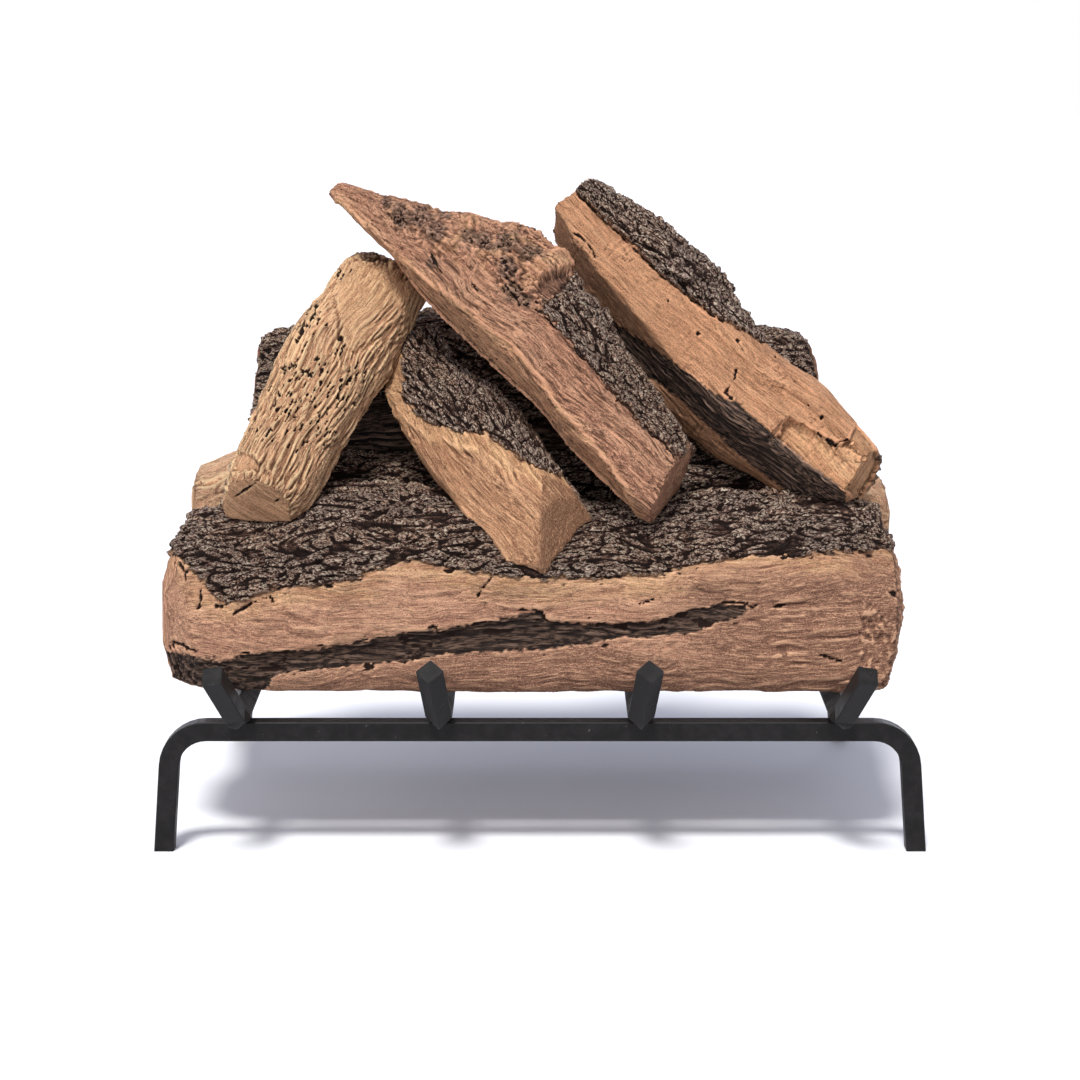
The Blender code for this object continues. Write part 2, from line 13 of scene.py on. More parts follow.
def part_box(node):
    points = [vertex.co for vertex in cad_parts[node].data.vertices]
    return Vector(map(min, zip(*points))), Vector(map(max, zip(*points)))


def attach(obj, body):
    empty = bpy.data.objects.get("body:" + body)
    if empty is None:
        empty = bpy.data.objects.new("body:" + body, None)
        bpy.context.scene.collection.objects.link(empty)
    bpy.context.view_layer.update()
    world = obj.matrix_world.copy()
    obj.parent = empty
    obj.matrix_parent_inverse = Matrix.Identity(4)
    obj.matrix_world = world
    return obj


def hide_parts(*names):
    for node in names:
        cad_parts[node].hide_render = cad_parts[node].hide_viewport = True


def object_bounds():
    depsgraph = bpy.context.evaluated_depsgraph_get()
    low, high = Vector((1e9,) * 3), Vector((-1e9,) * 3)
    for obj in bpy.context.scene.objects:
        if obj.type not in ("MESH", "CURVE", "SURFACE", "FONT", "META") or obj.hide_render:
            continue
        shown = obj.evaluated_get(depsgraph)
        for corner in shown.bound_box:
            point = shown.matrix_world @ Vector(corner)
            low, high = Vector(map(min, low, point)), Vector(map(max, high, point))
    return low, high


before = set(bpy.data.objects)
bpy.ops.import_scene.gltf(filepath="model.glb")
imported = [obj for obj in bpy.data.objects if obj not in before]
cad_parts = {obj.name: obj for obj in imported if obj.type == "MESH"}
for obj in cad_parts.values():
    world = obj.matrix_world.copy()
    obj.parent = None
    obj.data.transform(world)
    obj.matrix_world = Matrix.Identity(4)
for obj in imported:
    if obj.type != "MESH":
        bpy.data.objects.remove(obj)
CAD_BOX = [list(corner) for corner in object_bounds()]

MM = 0.001
SCENE = bpy.context.scene

# Camera, solved from the photograph's rail and feet
IMAGE_SIDE = 1080
FOCAL_PX = 2800.0
SENSOR_MM = 36.0
CAMERA_PLACE = (0.0, -2.3505, 0.6876)
CAMERA_PITCH = math.radians(11.0)
CAMERA_REACH = 60.0

# Each leaning log's left and right end, in metres
LEFT_ENDS = ((-0.24028, -0.08954, 0.27323), (-0.12600, 0.04857, 0.44830))
CENTRE_ENDS = ((-0.11381, 0.02874, 0.39203), (0.02752, -0.11348, 0.24546))
RIGHT_ENDS = ((0.02437, 0.08256, 0.50294), (0.27205, -0.06145, 0.30256))
LONG_ENDS = ((-0.17375, 0.03349, 0.52692), (0.10921, -0.07946, 0.29226))

# Fine mesh
FACING_LEAST = -0.05
EASE_ROUNDS = 40
EASE_SHARE = 0.5
CREASE_ANGLE = math.radians(34.0)
CREASE_REACH = 5.0 * MM
CREASE_SOFTNESS = 0.12
SEAT_NEAR = 1.2 * MM
SEAT_FAR = 5.0 * MM

# How smooth the surface is that hollows are measured from
BLUR_SHARE = 0.7
HOLLOW_ROUNDS = 12

# How far apart the logs' patterns lie, in millimetres for each step of the seed
GRAIN_APART = 137.0

# How deep the materials' bump is, in metres
LOG_BUMP = 0.0024
STEEL_BUMP = 0.0005

# Outlines in the photograph, in pixels of its 1080
FRONT_BARK_PX = (
    (120, 552), (172, 552), (188, 565), (201, 578), (214, 596), (229, 603), (252, 598), (265, 592),
    (284, 587), (329, 584), (350, 580), (375, 571), (392, 563), (405, 561), (420, 562), (445, 567),
    (478, 573), (505, 577), (560, 578), (620, 577), (660, 572), (700, 562), (760, 556), (830, 552),
    (885, 548), (960, 548), (960, 400), (120, 400),
)
FRONT_STRIP_PX = (
    (120, 650), (170, 651), (190, 655), (220, 662), (245, 656), (270, 652), (300, 650), (327, 648),
    (350, 644), (370, 640), (411, 632), (450, 628), (483, 623), (510, 618), (533, 613), (541, 612),
    (546, 621), (574, 624), (614, 624), (640, 622), (657, 621), (680, 614), (700, 610), (722, 605),
    (740, 605), (754, 609), (744, 614), (720, 622), (700, 630), (675, 634), (652, 636), (630, 636),
    (614, 638), (590, 644), (564, 647), (531, 650), (500, 651), (462, 653), (430, 657), (389, 662),
    (346, 666), (315, 668), (292, 671), (276, 677), (268, 684), (264, 700), (120, 720),
)
FRONT_FOLDS_PX = (
    (866, 596), (876, 606), (892, 620), (910, 640), (910, 700), (862, 706), (854, 684), (861, 645),
    (860, 612),
)
FRONT_CRACKS_PX = (
    (((179, 563), (184, 571), (185, 580)), 3.4), (((200, 590), (201, 599), (198, 608)), 2.2),
    (((215, 606), (222, 607)), 2.6), (((233, 614), (241, 610), (252, 603)), 2.6),
    (((252, 603), (262, 598), (270, 597), (273, 602)), 2.0), (((478, 596), (483, 588), (492, 577)), 1.8),
    (((191, 536), (193, 552)), 2.0), (((173, 642), (184, 646), (196, 652)), 1.8),
    (((533, 610), (541, 613), (546, 621)), 2.4), (((722, 603), (741, 603), (754, 608)), 2.2),
    (((775, 607), (788, 604)), 2.0), (((640, 604), (662, 597)), 1.0), (((820, 655), (842, 662)), 1.4),
)
BASE_NOTCH_PX = (((196, 485), (212, 481), (230, 474)), 4.0)
CROWN_DARK_PX = ((340, 396), (400, 396), (410, 480), (330, 480))
LEFT_BARK_PX = ((356, 240), (359, 258), (372, 262), (386, 262), (395, 250), (390, 235))
LEFT_SMOOTH_PX = (
    (352, 262), (372, 264), (398, 272), (420, 286), (412, 300), (392, 300), (374, 318), (366, 342),
    (356, 352), (346, 346), (344, 330), (340, 318), (334, 300), (336, 278),
)
LEFT_STEP_PX = ((232, 452), (240, 450), (252, 456), (260, 464), (259, 471), (246, 470), (232, 472))
LEFT_CRACKS_PX = ((((235, 497), (244, 491), (256, 483)), 1.5), (((274, 503), (279, 500)), 1.6))
LEFT_SLITS_PX = (
    (283, 368, 11, 20), (277, 396, 12, 14), (313, 316, 9, 18), (300, 326, 9, 18), (341, 275, 9, 10),
    (318, 398, 20, 22), (345, 394, 15, 16), (326, 424, 16, 14), (308, 368, 16, 18), (292, 416, 12, 9),
    (268, 436, 12, 6), (362, 372, 10, 8), (300, 440, 14, 8), (340, 350, 9, 6),
)
SLIT_REACH_PX = 9.0
LEFT_GRAIN_PX = (0.50, -0.87)
LEFT_RIM_PX = ((334, 300), (339, 318), (338, 332), (345, 347), (356, 353), (366, 343))
LEFT_PITS_PX = (
    (340, 337, 4.5), (317, 359, 3.0), (320, 382, 3.0), (306, 370, 2.4), (322, 369, 2.4), (294, 416, 2.6),
    (307, 394, 2.4), (316, 406, 2.4), (271, 429, 2.2), (297, 341, 2.6), (316, 306, 3.2), (319, 312, 2.6),
    (306, 325, 2.6), (342, 380, 2.4), (355, 404, 2.4), (346, 410, 2.4), (330, 432, 2.2), (287, 430, 2.0),
    (312, 318, 2.6), (300, 333, 2.4), (284, 366, 2.4), (289, 380, 2.0), (279, 395, 2.4), (328, 372, 2.0),
    (318, 320, 2.0), (335, 262, 2.2), (347, 258, 2.4), (337, 268, 2.0),
)
CENTRE_BARK_PX = (
    (398, 330), (402, 352), (403, 368), (403, 385), (405, 401), (420, 416), (437, 425), (463, 432),
    (486, 431), (500, 444), (520, 459), (545, 470), (570, 480), (610, 480), (610, 300), (420, 290),
)
CENTRE_END_PX = (
    (542, 476), (562, 482), (596, 506), (594, 530), (562, 564), (545, 582), (535, 574), (540, 520),
)
LONG_BARK_PX = (
    (542, 310), (555, 325), (570, 342), (590, 367), (607, 385), (622, 402), (637, 420), (652, 435),
    (670, 450), (681, 461), (690, 452), (684, 436), (710, 430), (700, 380), (640, 290), (600, 262),
    (578, 268), (562, 288),
)
LONG_KNOTS_PX = (
    (376, 196), (400, 200), (430, 206), (480, 214), (520, 222), (545, 232), (560, 262), (556, 286),
    (540, 306), (524, 302), (505, 288), (480, 272), (450, 262), (430, 256), (410, 240), (392, 222),
)
LONG_LOW_PX = (
    (340, 200), (380, 240), (405, 262), (433, 285), (464, 308), (492, 333), (508, 344), (521, 357),
    (540, 380), (550, 395), (559, 409), (578, 428), (600, 452), (626, 490), (650, 540), (560, 540),
    (300, 260),
)
LONG_BURNS_PX = (
    (386, 202, 8), (402, 217, 14), (420, 215, 13), (434, 231, 14), (446, 213, 8), (470, 237, 11),
    (484, 240, 12), (506, 241, 14), (530, 254, 15), (507, 268, 13), (512, 291, 12), (525, 301, 9),
    (551, 263, 8), (545, 301, 7), (433, 262, 7),
)
LONG_KNOB_PX = (
    (526, 264), (545, 256), (560, 246), (574, 248), (580, 262), (568, 270), (552, 272), (538, 280),
    (528, 274),
)
LONG_UNDER_PX = ((538, 282), (552, 274), (568, 272), (572, 282), (562, 292), (548, 297), (538, 292))
LONG_CRACKS_PX = (
    (((472, 284), (478, 292)), 1.5), (((430, 252), (436, 264), (441, 272)), 2.0),
    (((506, 286), (515, 296), (519, 304)), 2.8), (((524, 304), (540, 312), (556, 330)), 1.6),
)
LONG_PITS_PX = ((536, 301, 3.4), (493, 362, 2.4), (505, 262, 2.6), (483, 240, 2.4), (398, 222, 2.4))
RIGHT_BARK_PX = (
    (565, 160), (579, 195), (596, 212), (612, 225), (634, 247), (656, 268), (675, 287), (694, 300),
    (710, 312), (723, 319), (742, 330), (762, 342), (800, 330), (700, 190), (600, 150),
)
RIGHT_CHAR_PX = (
    (600, 312), (616, 324), (655, 351), (689, 374), (721, 395), (731, 401), (737, 400), (752, 415),
    (770, 432), (804, 459), (836, 482), (846, 494), (846, 520), (812, 520), (789, 497), (762, 475),
    (737, 455), (705, 424), (680, 402), (662, 388), (650, 380), (630, 365),
)
RIGHT_STRIP_PX = (
    (650, 380), (662, 388), (680, 402), (705, 424), (737, 455), (762, 475), (755, 478), (730, 465),
    (700, 447), (678, 433), (660, 410),
)
RIGHT_STEP_PX = (
    (784, 426), (788, 420), (805, 425), (828, 439), (839, 445), (849, 441), (860, 418), (890, 430),
    (882, 480), (860, 500), (835, 484), (804, 459), (778, 437),
)
RIGHT_CRACKS_PX = (
    (((736, 369), (735, 377), (729, 387), (724, 392), (731, 397)), 2.6),
    (((579, 195), (612, 227), (656, 270), (694, 302), (723, 321)), 1.5),
    (((695, 302), (706, 311), (716, 318)), 2.2), (((577, 232), (590, 246), (596, 256)), 1.3),
    (((818, 433), (836, 443), (848, 440)), 2.2),
)
RIGHT_PITS_PX = (
    (698, 333, 3.0), (738, 340, 2.4), (821, 418, 2.4), (808, 405, 1.6), (731, 398, 3.0), (749, 418, 1.8),
    (854, 488, 2.4), (776, 356, 1.6), (668, 300, 1.6),
)

# Each log's two wood paints, the crests' and the darker grain's, and how strong its furrow lines are
WOOD_TONES = {
    "front_log": ((0.82, 0.460, 0.280), (0.51, 0.245, 0.155), 0.45),
    "rear_base_log": ((0.98, 0.57, 0.34), (0.64, 0.33, 0.195), 0.6),
    "rear_top_log": ((0.45, 0.25, 0.15), (0.26, 0.13, 0.08), 0.6),
    "left_log": ((0.99, 0.56, 0.320), (0.57, 0.275, 0.145), 1.0),
    "centre_log": ((0.88, 0.48, 0.265), (0.55, 0.255, 0.135), 0.5),
    "right_log": ((0.75, 0.405, 0.220), (0.50, 0.240, 0.125), 0.4),
    "long_top_log": ((0.69, 0.385, 0.232), (0.36, 0.165, 0.100), 0.9),
}
# Golden paints, for the wood's own golden tone and for painted highlights
GOLD_LIGHT = (0.84, 0.51, 0.26)
GOLD_DARK = (0.54, 0.27, 0.13)
# Bark paints. BARK_DEEP is also painted shade in hollows, gaps, cracks and pits; the crest paints are
# partly painted highlight; BARK_GLINT is painted glints
BARK_MIDDLE = (0.190, 0.089, 0.064)
BARK_DEEP = (0.018, 0.007, 0.004)
BARK_CREST = (0.77, 0.465, 0.31)
BARK_CREST_GREY = (0.61, 0.43, 0.35)
BARK_GLINT = (0.95, 0.78, 0.59)
# Char paints; CHAR_CREST is a painted highlight on raised char, and CHAR_DARK is also painted shade in its
# hollows
CHAR_DARK = (0.018, 0.013, 0.011)
CHAR_LIGHT = (0.255, 0.156, 0.107)
CHAR_CREST = (0.46, 0.293, 0.215)

# The floor as the camera sees it, and as it lights the logs
FLOOR_SEEN = (0.93, 0.93, 0.94)
FLOOR_BOUNCE = (0.50, 0.50, 0.51)
FLOOR_REACH = 14.0

# Each studio light's name, strength, breadth in degrees, the side it shines from, and colour
WHITE = (1.0, 1.0, 1.0)
SUNS = (
    ("key", 2.9, 12.0, (-0.11, -0.46, 0.88), WHITE),
    ("left_fill", 0.72, 50.0, (-0.86, -0.45, 0.24), WHITE),
    ("front_fill", 0.42, 60.0, (0.0, -0.92, 0.38), WHITE),
    ("back_fill", 1.0, 50.0, (0.0, 0.93, 0.36), (0.78, 0.81, 1.0)),
)
SKY = (0.78, 0.82, 1.0)
SKY_STRENGTH = 0.46

# Each log's voxel in millimetres and its seed
MESHES = {
    "front_log": (1.52, 3), "rear_base_log": (1.7, 11), "rear_top_log": (1.5, 23), "left_log": (1.0, 31),
    "centre_log": (1.05, 43), "long_top_log": (1.1, 71), "right_log": (1.1, 57),
}

# The bark's crests, by size and height in millimetres
BARK_CRESTS = ((16.0, 4.6), (8.0, 2.8), (4.2, 2.6))


def smooth_step(low, high, value):
    part = np.clip((value - low) / (high - low), 0.0, 1.0)
    return part * part * (3.0 - 2.0 * part)


def blend(a, b, share):
    return a + (b - a) * share


HASH_A, HASH_B, HASH_C, HASH_D = 0x9E3779B1, 0x85EBCA77, 0xC2B2AE3D, 0x27D4EB2F
HASH_MASK = 0xFFFFFFFF
TABLE_SIZE = 4096
NOISE_GAIN = 1.6
BEYOND_CELLS = 9.0


def scramble(cells, seed):
    """A fixed whole number for each whole-numbered cell."""
    mixed = (cells[:, 0] * HASH_A + cells[:, 1] * HASH_B + cells[:, 2] * HASH_C + seed * HASH_D) & HASH_MASK
    mixed ^= mixed >> 15
    mixed = (mixed * HASH_B) & HASH_MASK
    mixed ^= mixed >> 13
    mixed = (mixed * HASH_C) & HASH_MASK
    mixed ^= mixed >> 16
    return mixed


table = np.random.RandomState(7)
GRADIENTS = table.normal(size=(TABLE_SIZE, 3))
GRADIENTS /= np.linalg.norm(GRADIENTS, axis=1, keepdims=True)
SCATTER = table.uniform(size=(TABLE_SIZE, 3))


def perlin(points, seed):
    """Gradient noise, about -1 to 1, at each point."""
    cells = np.floor(points).astype(np.int64)
    part = points - cells
    fade = part ** 3 * (part * (part * 6.0 - 15.0) + 10.0)
    total = np.zeros(len(points))
    for corner in ((0, 0, 0), (1, 0, 0), (0, 1, 0), (1, 1, 0), (0, 0, 1), (1, 0, 1), (0, 1, 1), (1, 1, 1)):
        offset = np.array(corner)
        gradient = GRADIENTS[scramble(cells + offset, seed) % TABLE_SIZE]
        weight = np.prod(np.where(offset, fade, 1.0 - fade), axis=1)
        total += weight * np.einsum("ij,ij->i", part - offset, gradient)
    return total * NOISE_GAIN


def scattered(points, seed):
    """Distances to the nearest two of points scattered one to a cell, and the nearest one's own number."""
    cells = np.floor(points).astype(np.int64)
    first = np.full(len(points), BEYOND_CELLS)
    second = np.full(len(points), BEYOND_CELLS)
    owner = np.zeros(len(points))
    for a in (-1, 0, 1):
        for b in (-1, 0, 1):
            for c in (-1, 0, 1):
                near = cells + np.array((a, b, c))
                code = scramble(near, seed)
                away = np.linalg.norm(near + SCATTER[code % TABLE_SIZE] - points, axis=1)
                closer = away < first
                second = np.where(closer, first, np.minimum(second, away))
                owner = np.where(closer, (code >> 12) % 1000 / 1000.0, owner)
                first = np.where(closer, away, first)
    return first, second, owner


def layered(points, seed, layers, falloff=0.5):
    """Several layers of gradient noise, each twice as fine as the one before."""
    total = np.zeros(len(points))
    strength, reach = 1.0, 0.0
    for layer in range(layers):
        total += strength * perlin(points * 2.0 ** layer, seed + layer)
        reach += strength
        strength *= falloff
    return total / reach


def project(points):
    """Where world points fall in the photograph, in its pixels."""
    away = points - np.array(CAMERA_PLACE)
    sine, cosine = math.sin(CAMERA_PITCH), math.cos(CAMERA_PITCH)
    depth = away[:, 1] * cosine - away[:, 2] * sine
    up = away[:, 1] * sine + away[:, 2] * cosine
    half = IMAGE_SIDE / 2
    return np.stack((half + FOCAL_PX * away[:, 0] / depth, half - FOCAL_PX * up / depth), axis=1)


def inside_by(spots, outline):
    """How far each spot is inside a closed outline; negative outside."""
    corners = np.array(outline, float)
    away = np.full(len(spots), 1e9)
    inside = np.zeros(len(spots), bool)
    for start, end in zip(corners, np.roll(corners, -1, axis=0)):
        side = end - start
        reach = np.clip((spots - start) @ side / (side @ side), 0.0, 1.0)
        away = np.minimum(away, np.linalg.norm(spots - start - reach[:, None] * side, axis=1))
        crosses = (start[1] > spots[:, 1]) != (end[1] > spots[:, 1])
        rise = side[1] if side[1] else 1.0
        inside ^= crosses & (spots[:, 0] < start[0] + (spots[:, 1] - start[1]) / rise * side[0])
    return np.where(inside, away, -away)


def from_line(spots, line):
    """Distance of each spot from an open line."""
    corners = np.array(line, float)
    best = np.full(len(spots), 1e9)
    for start, end in zip(corners, corners[1:]):
        side = end - start
        reach = np.clip((spots - start) @ side / (side @ side), 0.0, 1.0)
        best = np.minimum(best, np.linalg.norm(spots - start - reach[:, None] * side, axis=1))
    return best


class Casting:
    """A log's fine mesh and the numbers kept for each of its points."""

    def __init__(self, node, ends=None):
        self.node = node
        voxel, self.seed = MESHES[node]
        self.item = self.fine_copy(node, voxel * MM * (1.0))
        mesh = self.item.data
        count = len(mesh.vertices)
        self.points = np.zeros(count * 3, np.float32)
        mesh.vertices.foreach_get("co", self.points)
        self.points = self.points.reshape(-1, 3).astype(float)
        pairs = np.zeros(len(mesh.edges) * 2, np.int32)
        mesh.edges.foreach_get("vertices", pairs)
        self.pairs = pairs.reshape(-1, 2)
        self.place_axes(ends)
        self.seat = self.seat_share()
        self.ease()
        self.local = (self.points - self.start) @ self.axes.T / MM
        self.normals = self.read_normals()
        lengthways = (self.normals @ self.axes.T)[:, 0]
        self.spots = project(self.points)
        view = np.array(CAMERA_PLACE) - self.points
        view /= np.linalg.norm(view, axis=1, keepdims=True)
        self.front = smooth_step(-0.10, 0.12, np.einsum("ij,ij->i", view, self.normals))
        self.ends = smooth_step(0.70, 0.80, np.abs(lengthways))
        turned = self.local[:, (2, 1, 0)]
        straight = np.where(self.ends[:, None] > 0.5, turned, self.local)
        self.grain = warp(warp(straight, self.seed, 70.0, 8.0), self.seed + 5, 26.0, 2.0)

    def fine_copy(self, node, voxel):
        """The CAD log remeshed in voxels, and twice as fine where it faces the photograph's camera."""
        item = bpy.data.objects.new(f"{node}_casting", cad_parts[node].data.copy())
        SCENE.collection.objects.link(item)
        remesh = item.modifiers.new("Fine mesh", "REMESH")
        remesh.mode = "VOXEL"
        remesh.voxel_size = 2 * voxel
        fine = bpy.data.meshes.new_from_object(item.evaluated_get(bpy.context.evaluated_depsgraph_get()))
        fine.materials.clear()
        item.modifiers.clear()
        item.data = fine
        bm = bmesh.new()
        bm.from_mesh(fine)
        eye = Vector(CAMERA_PLACE)
        for face in bm.faces:
            face.tag = face.normal.dot((eye - face.verts[0].co).normalized()) > FACING_LEAST
        facing = [edge for edge in bm.edges if any(face.tag for face in edge.link_faces)]
        bmesh.ops.subdivide_edges(bm, edges=facing, cuts=1, use_grid_fill=True)
        bm.to_mesh(fine)
        bm.free()
        return item

    def place_axes(self, ends):
        low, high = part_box(self.node)
        if ends is None:
            self.start = np.array(low)
            self.axes = np.eye(3)
            self.length = (high.x - low.x) / MM
            return
        self.start = np.array(ends[0])
        along = np.array(ends[1]) - self.start
        self.length = np.linalg.norm(along) / MM
        along /= np.linalg.norm(along)
        back = np.array((0.0, 1.0, 0.0))
        back -= along * (back @ along)
        back /= np.linalg.norm(back)
        self.axes = np.stack((along, back, np.cross(along, back)))

    def read_normals(self):
        mesh = self.item.data
        mesh.vertices.foreach_set("co", self.points.astype(np.float32).ravel())
        mesh.update()
        normals = np.zeros(len(mesh.vertices) * 3, np.float32)
        mesh.vertex_normals.foreach_get("vector", normals)
        return normals.reshape(-1, 3).astype(float)

    def seat_share(self):
        """1 where another log or the grate touches this one, falling to 0 a little way off."""
        nearest = np.full(len(self.points), 1.0)
        low, high = self.points.min(0) - SEAT_FAR, self.points.max(0) + SEAT_FAR
        for name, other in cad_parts.items():
            if name == self.node:
                continue
            box = [np.array(corner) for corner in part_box(name)]
            if (box[0] > high).any() or (box[1] < low).any():
                continue
            near = ((self.points > box[0] - SEAT_FAR) & (self.points < box[1] + SEAT_FAR)).all(1)
            tree = BVHTree.FromPolygons([v.co for v in other.data.vertices],
                                        [p.vertices for p in other.data.polygons])
            for index in np.nonzero(near)[0]:
                hit = tree.find_nearest(Vector(self.points[index]), SEAT_FAR)
                if hit[3] is not None:
                    nearest[index] = min(nearest[index], hit[3])
        return 1.0 - smooth_step(SEAT_NEAR, SEAT_FAR, nearest)

    def crease_share(self):
        """1 on the CAD solid's sharp edges, falling to 0 a little way off."""
        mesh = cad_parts[self.node].data
        faces = {}
        for polygon in mesh.polygons:
            for key in polygon.edge_keys:
                places = tuple(sorted(tuple(round(c, 6) for c in mesh.vertices[k].co) for k in key))
                faces.setdefault(places, []).append(polygon.normal)
        samples = []
        for (start, end), normals in faces.items():
            if len(normals) != 2 or normals[0].angle(normals[1], 0.0) < CREASE_ANGLE:
                continue
            start, end = Vector(start), Vector(end)
            steps = max(1, math.ceil((end - start).length / (CREASE_REACH / 2)))
            samples += [start.lerp(end, k / steps) for k in range(steps + 1)]
        tree = KDTree(max(1, len(samples)))
        for index, sample in enumerate(samples):
            tree.insert(sample, index)
        tree.balance()
        away = np.array([tree.find(Vector(p))[2] if samples else 1.0 for p in self.points])
        return 1.0 - smooth_step(0.0, CREASE_REACH, away)

    def spread(self, values):
        """Each point's mean of its neighbours' values."""
        count = len(self.points)
        ends = np.concatenate((self.pairs[:, 0], self.pairs[:, 1]))
        others = np.concatenate((self.pairs[:, 1], self.pairs[:, 0]))
        degree = np.maximum(np.bincount(ends, minlength=count), 1)
        columns = [np.bincount(ends, values[others, k], minlength=count) / degree
                   for k in range(values.shape[1])]
        return np.stack(columns, axis=1)

    def ease(self):
        """Round the CAD solid's facets off, but hold its sharp edges and seats."""
        hold = np.maximum(self.seat, self.crease_share() * (1.0 - CREASE_SOFTNESS))
        share = (EASE_SHARE * (1.0 - hold))[:, None]
        for _ in range(EASE_ROUNDS):
            self.points += (self.spread(self.points) - self.points) * share

    def blurred(self, values, rounds):
        values = values[:, None]
        for _ in range(rounds):
            values = blend(values, self.spread(values), BLUR_SHARE)
        return values[:, 0]

    def push(self, outward):
        """Move the points along their normals by so many millimetres, but not in the seats."""
        self.points += self.normals * (outward * MM * (1.0 - self.seat))[:, None]
        self.points = np.clip(self.points, *CAD_BOX)

    def keep(self, name, values):
        values = np.asarray(values, np.float32)
        kind = "FLOAT_VECTOR" if values.ndim == 2 else "FLOAT"
        attribute = self.item.data.attributes.new(name, kind, "POINT")
        attribute.data.foreach_set("vector" if values.ndim == 2 else "value", values.ravel())

    def close(self, body, material):
        mesh = self.item.data
        mesh.vertices.foreach_set("co", self.points.astype(np.float32).ravel())
        mesh.polygons.foreach_set("use_smooth", np.ones(len(mesh.polygons), bool))
        mesh.update()
        mesh.materials.append(material)
        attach(self.item, body)
        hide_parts(self.node)


def warp(points, seed, scale, strength):
    """The points, each shifted by slow noise, so that patterns drawn on them wander."""
    shifts = [perlin(points / scale + 31.7 * k, seed + k) for k in range(3)]
    return points + strength * np.stack(shifts, axis=1)


def bark_height(local, seed):
    """Height of the bark in millimetres: long plates, sharp tangled crests, flakes and crumbs."""
    swell = perlin(local * (0.5, 1.0, 1.0) / 30.0, seed + 1)
    places = warp(local * (0.30, 1.0, 1.0), seed, 22.0, 13.0)
    cleft = 1.0 - smooth_step(0.0, 0.20, np.abs(perlin(places / 17.0, seed + 11)))
    cleft *= smooth_step(0.0, 0.40, perlin(places / 24.0, seed + 13))
    rise = 2.4 * perlin(places / 21.0, seed + 15)
    rise -= np.floor(rise)
    scale = smooth_step(0.0, 0.8, rise) * (1.0 - smooth_step(0.86, 1.0, rise))
    height = 1.4 * swell - 2.8 * cleft + 1.6 * (scale - 0.62)
    plates = warp(local * (0.40, 1.0, 1.0), seed + 3, 9.0, 3.6) / 9.5
    first, second, owner = scattered(plates, seed + 27)
    gap = 1.0 - smooth_step(0.02, 0.22, second - first)
    height += 2.8 * (owner - 0.45) * (1.0 - gap) - 1.9 * gap
    for size, gain in BARK_CRESTS:
        places = warp(places, seed + int(size), 1.7 * size, 0.7 * size)
        strong = blend(0.4, 1.3, smooth_step(-0.35, 0.35, perlin(places / (3.0 * size), seed + 23)))
        height += gain * strong * (0.30 - np.abs(perlin(places / size, seed + 21)))
    first, second, owner = scattered(places / 5.2, seed + 25)
    height += 1.8 * (owner - 0.5) * smooth_step(0.0, 0.25, second - first)
    return height + 2.4 * layered(places * (1.6, 1.0, 1.0) / 3.2, seed + 31, 3, 0.7)


def wood_height(grain, seed, fibre_size, fibre_depth, torn, stretch, chips):
    """Height of split wood in millimetres: fibres, slow swells, chips and torn grooves along the grain."""
    places = grain * (stretch, 1.0, 1.0)
    fibre = 2.0 * np.abs(perlin(places / fibre_size, seed + 41)) - 0.6
    fibre += 0.5 * perlin(places * 2.3 / fibre_size, seed + 42)
    swell = perlin(grain * (0.35, 1.0, 1.0) / 28.0, seed + 51)
    groove = smooth_step(0.10, 0.40, perlin(places * (1.5, 1.0, 1.0) / (1.15 * fibre_size), seed + 61))
    chip = layered(grain * (0.3, 1.0, 1.0) / 9.0, seed + 71, 2)
    return fibre_depth * fibre + 0.9 * swell - torn * groove + chips * chip


def ragged(log, outline, seed, size=5.0, soft=1.2):
    """Share of an outline that covers each point, its edge torn along the grain."""
    tear = layered(log.local * (0.35, 1.0, 1.0) / 6.0, seed, 3) * size
    tear += 2.2 * perlin(log.local * (0.6, 1.0, 1.0) / 2.4, seed + 7)
    return smooth_step(-soft, soft, inside_by(log.spots, outline) + tear) * log.front


def cracks_share(log, cracks, seed):
    """1 in the middle of each crack, falling to 0 at its edge."""
    total = np.zeros(len(log.points))
    wander = 1.3 * perlin(log.local / 5.0, seed) + 0.7 * perlin(log.local / 1.9, seed + 1)
    breadth = np.clip(0.75 + 0.8 * perlin(log.local / 7.0, seed + 2), 0.25, 1.4)
    for line, width in cracks:
        away = np.abs(from_line(log.spots, line) + wander)
        across = width * breadth
        total = np.maximum(total, 1.0 - smooth_step(0.15 * across, 0.5 + 0.7 * across, away))
    return total * log.front


def pits_share(log, pits, seed):
    total = np.zeros(len(log.points))
    wander = 1.5 * perlin(log.local * (0.6, 1.0, 1.0) / 2.1, seed)
    for x, y, radius in pits:
        away = np.linalg.norm(log.spots - (x, y), axis=1) + wander
        total = np.maximum(total, 1.0 - smooth_step(0.4 * radius, 0.85 * radius + 0.3, away))
    return total * log.front


def scattered_pits(log, spacing, share, seed, size, stretch=0.4):
    """Pits strewn over the log, drawn out along the grain, with torn edges."""
    places = warp(log.local * (stretch, 1.0, 1.0), seed, 3.0, 1.4)
    first, _, owner = scattered(places / spacing, seed)
    edge = size * (0.5 + 1.6 * owner / share)
    return (1.0 - smooth_step(edge * 0.7, edge, first)) * (owner < share)


def slits_share(log, clusters, grain, seed):
    """Short black slits along the grain, clustered about given places."""
    total = np.zeros(len(log.points))
    chance = np.random.RandomState(seed)
    wander = 0.8 * perlin(log.local / 2.2, seed)
    along = np.array(grain)
    for x, y, radius, count in clusters:
        for _ in range(count):
            middle = np.array((x, y)) + chance.normal(size=2) * radius * 0.6
            half = chance.uniform(0.4, 3.2) * along
            width = chance.uniform(0.25, 0.95)
            near = np.abs(log.spots - middle).max(axis=1) < SLIT_REACH_PX
            away = from_line(log.spots[near], (middle - half, middle + half)) + wander[near]
            total[near] = np.maximum(total[near], 1.0 - smooth_step(0.4 * width, 0.5 + width, away))
    return total * log.front


